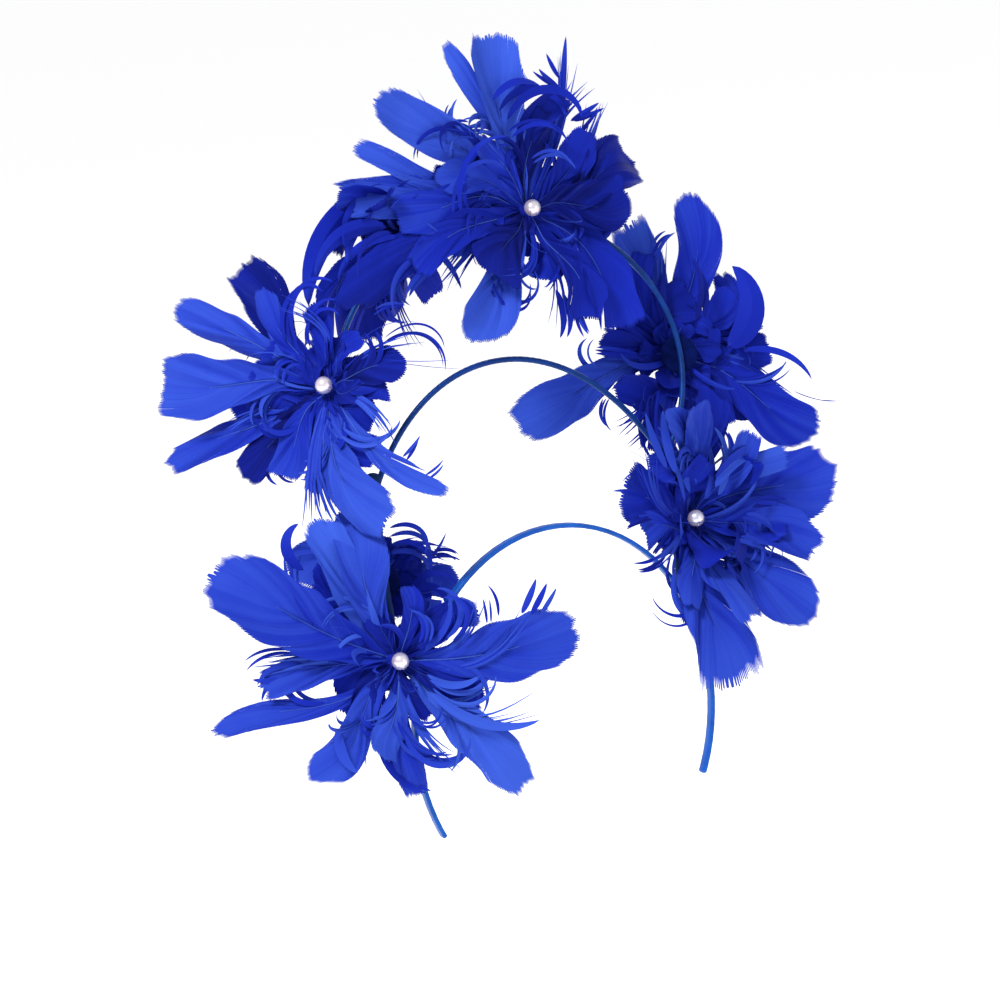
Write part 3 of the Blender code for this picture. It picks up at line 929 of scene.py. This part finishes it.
# the least and most of what differs from petal to petal: how it cups, how many waves run along it
# and how high on a 25 mm width, its tip's corner, where it is widest, how it flares, how many
# ripples its rim has, and how full each hand is
petalRange = {
    "cup": (-0.45, 0.50),
    "waves": (0.6, 1.6),
    "waveHeight": (0.8, 2.8),
    "corner": (0.45, 0.85),
    "widest": (0.62, 0.90),
    "flare": (0.9, 1.5),
    "ripples": (1.5, 4.0),
    "fullness": (0.93, 1.14),
}


def seatOf(carrier, place, facing):
    # the flower's centre and facing: a point on the carrying wire or stem, the facing made square
    # to it there, and the depth of the felt disc and half the hub gone along it
    if carrier == "outer":
        angle = math.radians(place)
        before, point, after = outerPoints(np.array([angle - 0.01, angle, angle + 0.01]))
        radius = halo["wireRadius"]
    else:
        fine = stemPoints(carrier, 401)
        index = int(round(place * 400))
        before, point, after = fine[index - 2], fine[index], fine[index + 2]
        radius = stems["radius"]
    wanted = facing[0] * acrossAxis + facing[1] * upAxis + facing[2] * towardsAxis
    square = squareTo(wanted, unit(after - before))
    depth = radius + 2 * heart["gap"] + heart["discThickness"] + heart["hubHalfHeight"]
    return point + square * depth, square


def quillLine(centre, facing, row, share):
    # Point, side, normal and tangent of a petal's middle line at any shares u of its length. The tip
    # is set out across and up in the quarter; the line to it rises by rise u squared + arch sin(pi u)
    # and bows sideways by bow sin(pi u); side and normal are turned about it by turn u.
    across, up, rise = row[:3]
    bow, arch, turn = row[4:7]
    flat = across * acrossAxis + up * upAxis
    depth = (rise - flat @ facing) / (towardsAxis @ facing)
    run = flat + depth * towardsAxis - rise * facing
    sideways = np.cross(facing, unit(run))
    u = np.asarray(share)[..., None]
    swell, slope = np.sin(math.pi * u), math.pi * np.cos(math.pi * u)
    point = centre + u * run + (rise * u ** 2 + arch * swell) * facing + bow * swell * sideways
    tangent = unit(run + (2 * rise * u + arch * slope) * facing + bow * slope * sideways)
    normal = squareTo(facing, tangent)
    side = np.cross(normal, tangent)
    angle = np.radians(turn) * u
    return (
        point,
        np.cos(angle) * side + np.sin(angle) * normal,
        np.cos(angle) * normal - np.sin(angle) * side,
        tangent,
    )


def barbLook(tone, reach, own):
    # tone, reach, nothing pale, and the barb's own shade, at each station
    return np.stack([np.broadcast_to(part, reach.shape) for part in (tone, reach, 0.0, own)], axis=-1)


def vane(centre, facing, row, random, tone, finish):
    # One petal, as barbs in tufts on both hands of its quill. Barb line s goes from the quill at
    # u0 = root + (quillEnd - root) s to the rim at (u1, v1), which climbs the side and then turns
    # round the tip as sine and cosine to the power corner, with two slow ripples on it. Along it,
    # u = u0 + (u1 - u0)(0.6 q + 0.4 q squared), v = v1 (1.35 q - 0.35 q squared), and the point is
    # quill(u) + side (v half + weave) + normal height. half is half the width times
    # base + (1 - base) ease(u) to the power flare. height is cup and wave by v squared, the tuft's
    # lift by q squared, a fold by sin(pi q to the 0.8) and the curl of the tip. Tufts draw together by
    # q cubed, barbs are cut short by teeth and fray, more so at the tip, and each narrows near its end.
    length, width = math.hypot(row[0], row[1]), row[3]
    loose = row[8] if len(row) > 8 else 0.0
    q = np.array(petal["stations"])[None, :]
    cup = random.uniform(*petalRange["cup"])
    waves = random.uniform(*petalRange["waves"])
    phase = random.uniform(0.0, fullTurn)
    waveHeight = random.uniform(*petalRange["waveHeight"]) * width / 25.0
    tipCurl = finish["tipCurl"] + random.normal(0.0, 3.5)
    corner = row[9] if len(row) > 9 else random.uniform(*petalRange["corner"])
    widest = random.uniform(*petalRange["widest"])
    weave = random.normal(0.0, 1.8)
    flare = random.uniform(*petalRange["flare"])
    ripples = random.uniform(*petalRange["ripples"], 2)
    shapes = []
    for hand in (-1, 1):
        fullness = random.uniform(*petalRange["fullness"])
        # the number of barbs: this hand's rim is about 0.62 of the length and half the width
        count = max(10, int((0.62 * length + 0.5 * width) / petal["barbPitch"]))
        tufts = max(2, int(finish["tufts"] * length / 70.0 + random.uniform(0, 2)))
        bounds = np.concatenate([[0.0], np.sort(random.random(tufts - 1)) ** 0.8, [1.0]])
        line = 1.0 - (1.0 - np.linspace(0.0, 1.0, count + 1)) ** 1.25  # closer towards the tip
        tuft = np.clip(np.searchsorted(bounds, (line[:-1] + line[1:]) / 2) - 1, 0, tufts - 1)
        middles = (bounds[:-1] + bounds[1:]) / 2
        middles[-1] = 1.0
        middle = middles[tuft][:, None]
        draws = petal["draw"] * random.random(tufts)
        if random.random() < finish["split"]:
            draws[random.integers(tufts)] += finish["part"] * random.random()
        draw = draws[tuft][:, None]
        sway = random.normal(0.0, petal["sway"], tufts)[tuft][:, None]
        lifts = random.normal(0.0, finish["lift"], tufts)
        lifts[-1] = 0.0
        folds = random.normal(0.0, finish["fold"], petal["folds"]) * min(1.0, width / 20.0)
        folds[-1] = 0.0
        foldPlaces, streakPlaces = (np.linspace(0.0, 1.0, petal[key]) for key in ("folds", "streaks"))
        streak = np.interp(line[:-1], streakPlaces, random.random(petal["streaks"]))[:, None]
        tipward = ease(0.50, 0.80, line[:-1])[:, None]
        teeth = np.repeat(random.random(count // 2 + 1), 2)[:count, None]
        fray = 0.006 + (finish["fray"] + loose / 2) * tipward
        gone = q * (1.0 - fray * (0.7 * teeth + 0.3 * random.random((count, 1))))
        pull = 1.0 - draw * gone ** 3

        def place(edge):
            # points, normals and shares along the barb lines that start at these edges
            s = middle + (edge[:, None] - middle) * pull
            lift = np.interp(edge, middles, lifts)[:, None]
            fold = np.interp(edge, foldPlaces, folds)[:, None]
            start = petal["rootShare"] + (petal["quillShare"] - petal["rootShare"]) * s
            climb = np.clip(s / petal["shoulderShare"], 0.0, 1.0)
            bend = np.clip((s - petal["shoulderShare"]) / (1.0 - petal["shoulderShare"]), 0.0, 1.0)
            bend = bend * math.pi / 2
            rimU = petal["firstRim"] + (petal["shoulder"] - petal["firstRim"]) * climb
            rimU = rimU + (petal["reach"] - petal["shoulder"]) * np.sin(bend) ** corner
            rimV = np.maximum(np.cos(bend), 0.0) ** corner
            rimV = rimV * (1.0 + petal["ripple"] * np.sin(fullTurn * ripples[0] * s + phase + hand))
            rimU = rimU + petal["ripple"] * 0.4 * np.sin(fullTurn * ripples[1] * s + phase) * climb
            u = start + (rimU - start) * (0.6 * gone + 0.4 * gone ** 2) + sway * gone ** 2
            v = rimV * (1.35 * gone - 0.35 * gone ** 2)
            point, side, normal = quillLine(centre, facing, row, u)[:3]
            spread = petal["base"] + (1.0 - petal["base"]) * ease(-0.08, widest, u) ** flare
            half = width / 2 * spread * fullness
            height = (
                cup * half * v ** 2
                + waveHeight * np.sin(fullTurn * waves * u + phase + 0.8 * hand) * v ** 2
                + lift * gone ** 2
                + fold * np.sin(math.pi * gone ** 0.8)
                + tipCurl * ease(0.72, 1.05, u) ** 2
            )
            aside = hand * v * half + weave * np.sin(fullTurn * u) * ease(0.0, 0.3, u)
            return point + aside[..., None] * side + height[..., None] * normal, normal, u

        low, normal, u = place(line[:-1])
        high = place(line[1:])[0]
        centreLine = (low + high) / 2
        narrowing = ease(petal["narrowFrom"] - loose * tipward, 1.0, q)
        keep = petal["overlap"] - (petal["overlap"] - petal["tipShare"]) * narrowing
        low = centreLine + (low - centreLine) * keep[..., None]
        high = centreLine + (high - centreLine) * keep[..., None]
        crown = centreLine + normal * (petal["crown"] * keep)[..., None]
        left, right = (high, low) if hand > 0 else (low, high)
        # u as the reach: painted shade near the root, painted light near the tip
        look = barbLook(tone, u, 0.65 * streak + 0.35 * random.random((count, 1)))
        shapes.append(slivers(left, right, crown, look, 0.5 + hand * line[:-1] / 2))
    shapes.append(quill(centre, facing, row, tone, random.uniform(*finish["quill"]), weave))
    return shapes


def quill(centre, facing, row, tone, pale, weave):
    # a six-sided spine down the middle, thinning as 1 - u to the power 0.7, just proud of the vane
    share = np.linspace(0.03, petal["quillShare"] + 0.04, 16)
    point, side, normal, tangent = quillLine(centre, facing, row, share)
    angle = np.linspace(0.0, fullTurn, 6, endpoint=False)
    radius = petal["quillRadius"] * (1.0 - share) ** 0.7 + 0.05
    aside = weave * np.sin(fullTurn * share) * ease(0.0, 0.3, share)
    middle = point + normal * 0.1 + aside[:, None] * side
    rings = ringsRound(middle, radius[:, None], angle, side, normal)
    return closedGrid(rings, middle[0], middle[-1] + tangent[-1] * 0.5, (tone, 0.6, pale, 0.5))


def strand(line, side, normal, width, tone, random):
    # tapered slivers along given lines, each with a crown about an eighth of its width high
    count, steps = line.shape[:2]
    half = width[..., None] / 2
    crown = line + normal * (width * 0.12 + 0.02)[..., None]
    # reach from 0.3 to 1 along the strand: painted shade at its start, painted light at its end
    reach = np.broadcast_to(np.linspace(0.3, 1.0, steps), (count, steps))
    tones = np.clip(tone + random.normal(0.0, 0.08, (count, 1)), 0, 1)
    look = barbLook(tones, reach, random.random((count, 1)))
    return slivers(line - side * half, line + side * half, crown, look, np.linspace(0, 1, count))


def bunch(centre, facing, row, random, tone):
    # A narrow strip of loose barbs: the strip's own middle line, fanned sideways in proportion to u,
    # hooked aside and lifted by the square of what u has gone past a half and 0.3; width swells as
    # sin(pi t to the 0.8) and falls off as 1 - t to the 0.35.
    width = row[3]
    count = 3 + int(width * 0.7)
    steps = 14
    share = np.linspace(0.06, 1.0, steps) * random.uniform(0.8, 1.02, (count, 1))
    point, side, normal = quillLine(centre, facing, row, share)[:3]
    fan = np.linspace(-0.6, 0.6, count)[:, None] * width * share
    hook = random.normal(0.0, 9.0, (count, 1)) * np.maximum(share - 0.5, 0.0) ** 2
    rise = random.normal(0.0, 6.0, (count, 1)) * np.maximum(share - 0.3, 0.0) ** 2
    line = point + (fan + hook)[..., None] * side + rise[..., None] * normal
    tangent = unit(np.gradient(line, axis=1))
    normal = squareTo(normal, tangent)
    gone = np.linspace(0.0, 1.0, steps)
    wide = width * 0.34 * random.uniform(0.6, 1.2, (count, 1))
    widths = wide * (0.35 + 0.65 * np.sin(math.pi * gone ** 0.8)) * (1.0 - gone) ** 0.35 + 0.08
    return strand(line, np.cross(normal, tangent), normal, widths, tone, random)


def curls(start, along, bendWay, bend, length, width, twist, tone, random):
    # Curled barbs. The heading turns by bend t to the power 1.4 in the plane of along and bendWay, and
    # the line is the running sum of the headings; widest before the middle and pointed at both ends.
    steps = 18
    t = np.linspace(0.0, 1.0, steps)[None, :]
    heading = (bend[:, None] * t ** 1.4)[..., None]
    step = np.cos(heading) * along[:, None] + np.sin(heading) * bendWay[:, None]
    line = start[:, None] + np.cumsum(step, axis=1) * (length / steps)[:, None, None]
    plane = np.cross(along, bendWay)[:, None]
    lean = twist[:, None, None]
    side = unit(np.cos(lean) * np.cross(plane, step) + np.sin(lean) * plane)
    widths = width[:, None] * np.sin(math.pi * t ** 0.8) ** 0.65 + 0.1
    return strand(line, side, np.cross(step, side), widths, tone, random)


def laidFlat(facing, flat):
    # directions in the picture, slid along the view until they are square to the facing
    spread = flat[..., :1] * acrossAxis + flat[..., 1:] * upAxis
    return spread - (spread @ facing)[..., None] / (towardsAxis @ facing) * towardsAxis


def placedCurls(centre, facing, row, random):
    # A few curls side by side: each starts a little further out and aside than the one before, is a
    # little shorter, and leaves on nearly the same bearing.
    across, up, rise, bearing, bend, length, width, count, tone = row
    step = np.arange(count)[:, None] * width
    angle = np.radians(bearing) + random.normal(0.0, 0.07, (count, 1))
    heading = np.concatenate([np.cos(angle), np.sin(angle)], axis=1)
    aside = np.concatenate([-np.sin(angle), np.cos(angle)], axis=1) * np.sign(bend)
    outward = unit(np.array([[across, up]], dtype=float))
    spot = np.array([[across, up]]) + outward * step * 0.8 - aside * step * 0.7
    start = centre + laidFlat(facing, spot) + towardsAxis * rise / (towardsAxis @ facing)
    along = unit(unit(laidFlat(facing, heading)) + random.normal(0.0, 0.12, (count, 1)) * facing)
    wanted = unit(laidFlat(facing, aside)) + random.normal(0.0, 0.2, (count, 1)) * facing
    size = 1.0 - 0.07 * np.arange(count)
    turning = abs(math.radians(bend)) * random.uniform(0.88, 1.12, count)
    return curls(
        start, along, squareTo(wanted, along), turning, length * size, width * size,
        random.normal(0.0, 0.25, count), tone, random,
    )


def facingAxes(facing):
    # two directions square to the facing and to each other
    first = unit(np.cross(facing, acrossAxis))
    return first, np.cross(facing, first)


# curls round the hub: number, tone, and the least and most length, width (mm) and bend (radians)
hubCurlRows = [
    (9, 0.55, (22.0, 42.0), (1.5, 3.4), (0.8, 2.6)),
    (14, 0.4, (5.0, 11.0), (0.5, 1.2), (0.2, 1.6)),
    (6, 0.5, (30.0, 50.0), (0.1, 0.25), (0.6, 2.4)),
]
goldenAngle = 2.39996


def hubCurls(centre, facing, row, random):
    # curls that leave the glue hub a golden angle apart, tilted off the petals' plane
    count, tone, lengths, widths, bends = row
    bearing = np.arange(count) * goldenAngle + random.uniform(0, 1)
    tilt = random.uniform(-0.25, 0.65, count)
    first, second = facingAxes(facing)
    out = np.cos(bearing)[:, None] * first + np.sin(bearing)[:, None] * second
    along = np.cos(tilt)[:, None] * out + np.sin(tilt)[:, None] * facing
    across = np.cross(facing, out)
    roll = random.uniform(0, fullTurn, count)[:, None]
    bendWay = np.cos(roll) * across + np.sin(roll) * unit(np.cross(along, across))
    start = centre + out * random.uniform(2.0, 5.0, (count, 1))
    return curls(
        start, along, bendWay, random.uniform(*bends, count), random.uniform(*lengths, count),
        random.uniform(*widths, count), random.normal(0.0, 0.5, count), tone, random,
    )


# barbs peeled from a petal: number, the first one's share of the quill, step from one to the next,
# how far they stand off it, bend (radians), length on a 70 mm petal and width
peeled = {
    "number": (2, 5),
    "first": (0.10, 0.45),
    "step": 0.025,
    "spread": (0.2, 0.5),
    "bend": (0.9, 2.4),
    "length": (26.0, 42.0),
    "width": (1.2, 2.8),
}


def sideCurls(centre, facing, row, random, tone):
    # a tuft of barbs peeled from one edge of a petal: they start one after another beside the quill,
    # run with it and hook away together
    count = int(random.integers(*peeled["number"]))
    size = min(1.0, math.hypot(row[0], row[1]) / 70.0)
    share = random.uniform(*peeled["first"]) + np.arange(count) * peeled["step"]
    point, side, normal, tangent = quillLine(centre, facing, row, share)
    hand = random.choice([-1.0, 1.0])
    spread = random.uniform(*peeled["spread"]) + random.normal(0.0, 0.05, (count, 1))
    along = unit(tangent + spread * hand * side + random.normal(0.0, 0.06, (count, 1)) * normal)
    wanted = unit(hand * side + (random.normal(0.0, 0.4) + random.normal(0.0, 0.1, (count, 1))) * normal)
    bend = random.uniform(*peeled["bend"]) + random.normal(0.0, 0.2, count)
    length = random.uniform(*peeled["length"]) * size * random.uniform(0.8, 1.1, count)
    return curls(
        point, along, squareTo(wanted, along), bend, length, random.uniform(*peeled["width"], count),
        random.normal(0.0, 0.3, count), tone, random,
    )


# the shorter feathers behind the petals: bearing step (radians), share of the neighbours' length,
# depth behind, width, arch and tone between two limits, the tone kept low as painted shade behind the
# petals; stray, bow and turn (degrees) are spreads
underFeathers = {
    "step": 0.55,
    "stray": 0.15,
    "share": (0.40, 0.72),
    "below": (4.0, 9.0),
    "width": (12.0, 21.0),
    "bow": 7.0,
    "arch": (2.0, 5.0),
    "turn": 22.0,
    "tone": (0.0, 0.30),
}
# the ring of short dark feathers that closes the gaps beside the hub, the same way; their dark tone
# is painted shade at the heart of the flower
collar = {
    "count": 9,
    "stray": 0.12,
    "length": (16.0, 23.0),
    "rise": (-2.0, 1.0),
    "width": (10.0, 14.0),
    "bow": 3.0,
    "arch": 2.0,
    "turn": 14.0,
    "tone": (0.0, 0.16),
}


def underRows(rows, random):
    # Shorter feathers behind the petals: the petals' bearings are put in order, and each gap wider
    # than half a step gets one or more at even bearings, their length a share of the two neighbours'.
    bearings = np.array([math.atan2(row[1], row[0]) for row in rows])
    lengths = np.array([math.hypot(row[0], row[1]) for row in rows])
    order = np.argsort(bearings)
    found = []
    for here, after in zip(order, np.roll(order, -1)):
        gap = (bearings[after] - bearings[here]) % fullTurn
        count = int(round(gap / underFeathers["step"]))
        for k in range(count):
            bearing = bearings[here] + gap * (k + 0.5) / count
            bearing = bearing + random.normal(0.0, underFeathers["stray"])
            length = (lengths[here] + lengths[after]) / 2 * random.uniform(*underFeathers["share"])
            rise = min(rows[here][2], rows[after][2]) - random.uniform(*underFeathers["below"])
            found.append((
                length * math.cos(bearing), length * math.sin(bearing), rise,
                random.uniform(*underFeathers["width"]), random.normal(0.0, underFeathers["bow"]),
                random.uniform(*underFeathers["arch"]), random.normal(0.0, underFeathers["turn"]),
            ))
    return found


def collarRows(random):
    # short feathers close round the hub, at even bearings give or take a little
    found = []
    for k in range(collar["count"]):
        bearing = k * fullTurn / collar["count"] + random.normal(0.0, collar["stray"])
        length = random.uniform(*collar["length"])
        found.append((
            length * math.cos(bearing), length * math.sin(bearing), random.uniform(*collar["rise"]),
            random.uniform(*collar["width"]), random.normal(0.0, collar["bow"]),
            collar["arch"], random.normal(0.0, collar["turn"]),
        ))
    return found


def turned(centre, facing, profile, around, waves, look, size=1.0):
    # A profile of (radius, height) turned about the facing, its radius times size + the sum over
    # the waves of depth sin(number a + phase).
    angle = np.linspace(0.0, fullTurn, around, endpoint=False)
    uneven = size + sum(depth * np.sin(number * angle + phase) for depth, number, phase in waves)
    first, second = facingAxes(facing)
    line = centre + profile[:, 1:] * facing
    rings = ringsRound(line, profile[:, :1] * uneven, angle, first[None], second[None])
    return closedGrid(rings, line[0], line[-1], look)


def roundProfile(radius, halfHeight, count):
    # half an ellipse from its lowest to its highest point, poles left off
    angle = np.linspace(-math.pi / 2, math.pi / 2, count + 2)[1:-1]
    return np.stack([radius * np.cos(angle), halfHeight * np.sin(angle)], axis=-1)


def discProfile(radius, thickness):
    # flat faces and a rounded rim: radius less rim plus rim cos a, half thickness sin a
    rim = thickness / 2
    angle = np.linspace(-math.pi / 2, math.pi / 2, 9)
    edge = np.stack([radius - rim + rim * np.cos(angle), rim * np.sin(angle)], axis=-1)
    inside = np.linspace(0.5, radius - rim, 8)[:-1]
    floor = np.stack([inside, np.full(7, -rim)], axis=-1)
    return np.vstack([floor, edge, np.stack([inside[::-1], np.full(7, rim)], axis=-1)])


# how a vane is finished: tufts on a 70 mm petal, chance of a split and how far it parts, lift of a
# tuft, depth of the folds, fray and curl of the tip, how pale the quill is, spread of turn (degrees)
petalFinish = {
    "tufts": 4,
    "split": 0.14,
    "part": 0.45,
    "lift": 0.7,
    "fold": 0.8,
    "fray": 0.045,
    "tipCurl": 0.0,
    "quill": (0.1, 0.6),
    "turn": 9.0,
}
underFinish = {
    "tufts": 3,
    "split": 0.15,
    "part": 0.30,
    "lift": 0.7,
    "fold": 0.6,
    "fray": 0.04,
    "tipCurl": 1.0,
    "quill": (0.0, 0.2),
}


def makeFlower(name, seed):
    # one mesh of petals, loose barbs, shorter feathers and glue hub, then the disc and the pearl
    centre, facing = seatOf(*flowerSeats[name])
    random = np.random.default_rng(seed)
    shapes = []
    for row in petalRows[name] + strandRows[name]:
        tone = row[7]
        row = (*row[:6], row[6] + random.normal(0.0, petalFinish["turn"]), *row[7:])
        if row[3] < petal["stripWidth"]:
            shapes.append(bunch(centre, facing, row, random, tone))
            continue
        shapes += vane(centre, facing, row, random, tone, petalFinish)
        shapes.append(sideCurls(centre, facing, row, random, tone))
    for row in curlRows[name]:
        shapes.append(placedCurls(centre, facing, row, random))
    for row in underRows(petalRows[name], random):
        shapes += vane(centre, facing, row, random, random.uniform(*underFeathers["tone"]), underFinish)
    for row in collarRows(random):
        shapes += vane(centre, facing, row, random, random.uniform(*collar["tone"]), underFinish)
    for row in hubCurlRows:
        shapes.append(hubCurls(centre, facing, row, random))
    hub = roundProfile(heart["hubRadius"], heart["hubHalfHeight"], 9)
    # the hub's low reach gives it the painted shade of the petals' roots
    hubLook = (0.35, 0.1, 0.0, 0.4)
    shapes.append(turned(centre, facing, hub, heart["hubAround"], heart["hubRibs"], hubLook))
    flower = joinShapes(shapes)
    addPiece(name + "_petals", flower, dyedFeatherPaintedLight, name + "_feathers")
    behind = centre - facing * (heart["hubHalfHeight"] + heart["gap"] + heart["discThickness"] / 2)
    felt = discProfile(heart["discRadius"], heart["discThickness"])
    handCut = [(*heart["discCut"], seed), (*heart["discNicks"], 0.0)]
    disc = turned(behind, facing, felt, heart["discAround"], handCut, plainLook, heart["discTrim"])
    addPiece(name + "_felt", disc, navyFelt, name + "_disc")
    before = centre + facing * (heart["hubHalfHeight"] + heart["gap"] + heart["pearlRadius"])
    ball = roundProfile(heart["pearlRadius"], heart["pearlRadius"], 23)
    bead = turned(before, facing, ball, heart["pearlAround"], [], plainLook)
    addPiece(name + "_bead", bead, pearlBead, name + "_pearl")
    print(name, "made:", 2 * len(flower["quads"]) + len(flower["tris"]), "triangles of feather")


for flowerSeed, flowerName in enumerate(flowerSeats, 11):
    makeFlower(flowerName, flowerSeed)


# pale floor, soft lights and the camera, in metres
studio = {
    "floorHeight": -0.24,
    "floorHalf": 40.0,
    "floorColour": (0.94, 0.94, 0.945),
    "worldColour": (1.0, 1.0, 1.0),
    "worldStrength": 0.62,
    "floorGlow": 0.42,
    "distance": 1.6,
    "aside": -0.02095,
    "above": 0.01364,
    "lens": 126.72,
    "sensor": 36.0,
}

# soft boxes: place by across, up and towards the quarter in metres, size, power in watts
softBoxes = {
    "key": ((-0.8, 1.2, 1.3), 0.5, 34.0),
    "fill": ((1.4, 0.3, 1.1), 1.2, 3.0),
    "back": ((0.5, 1.3, -1.2), 0.9, 6.0),
}


def setPose(item, right, up, back, spot):
    # object matrix from three directions and a place
    matrix = np.identity(4)
    matrix[:3, 0], matrix[:3, 1], matrix[:3, 2], matrix[:3, 3] = right, up, back, spot
    item.matrix_world = Matrix(matrix.tolist())


def inQuarter(across, up, towards):
    # a place given by its distances along the quarter's directions
    return towards * towardsAxis + across * acrossAxis + up * upAxis


def makeStudio():
    # a glowing floor, a white room, soft boxes aimed 50 mm above the band's top, and the camera
    half = studio["floorHalf"]
    floorMesh = bpy.data.meshes.new("floor")
    corners = [(-half, -half, 0), (half, -half, 0), (half, half, 0), (-half, half, 0)]
    floorMesh.from_pydata(corners, [], [(0, 1, 2, 3)])
    floor = placed("floor", floorMesh)
    floor.location.z = studio["floorHeight"]
    material, tree, shader = newMaterial("paleFloor")
    feed(tree, shader, {
        "Base Color": studio["floorColour"],
        "Roughness": 0.9,
        "Emission Color": studio["floorColour"],
        "Emission Strength": studio["floorGlow"],
    })
    floorMesh.materials.append(material)
    world = bpy.data.worlds.new("paleRoom")
    bpy.context.scene.world = world
    world.use_nodes = True
    room = {0: studio["worldColour"], 1: studio["worldStrength"]}
    feed(world.node_tree, world.node_tree.nodes["Background"], room)
    for name, (place, size, power) in softBoxes.items():
        data = bpy.data.lights.new(name, "AREA")
        data.size = size
        data.energy = power
        spot = inQuarter(*place)
        aim = unit(spot - np.array([0.0, 0.0, 0.05]))
        side = unit(np.cross([0.0, 0.0, 1.0], aim))
        setPose(placed(name, data), side, np.cross(aim, side), aim, spot)
    data = bpy.data.cameras.new("quarterView")
    data.lens = studio["lens"]
    data.sensor_width = studio["sensor"]
    camera = placed("quarterView", data)
    spot = inQuarter(studio["aside"], studio["above"], studio["distance"])
    setPose(camera, acrossAxis, upAxis, towardsAxis, spot)
    bpy.context.scene.camera = camera
    bpy.context.scene.view_settings.view_transform = "Standard"


makeStudio()
print("studio ready")
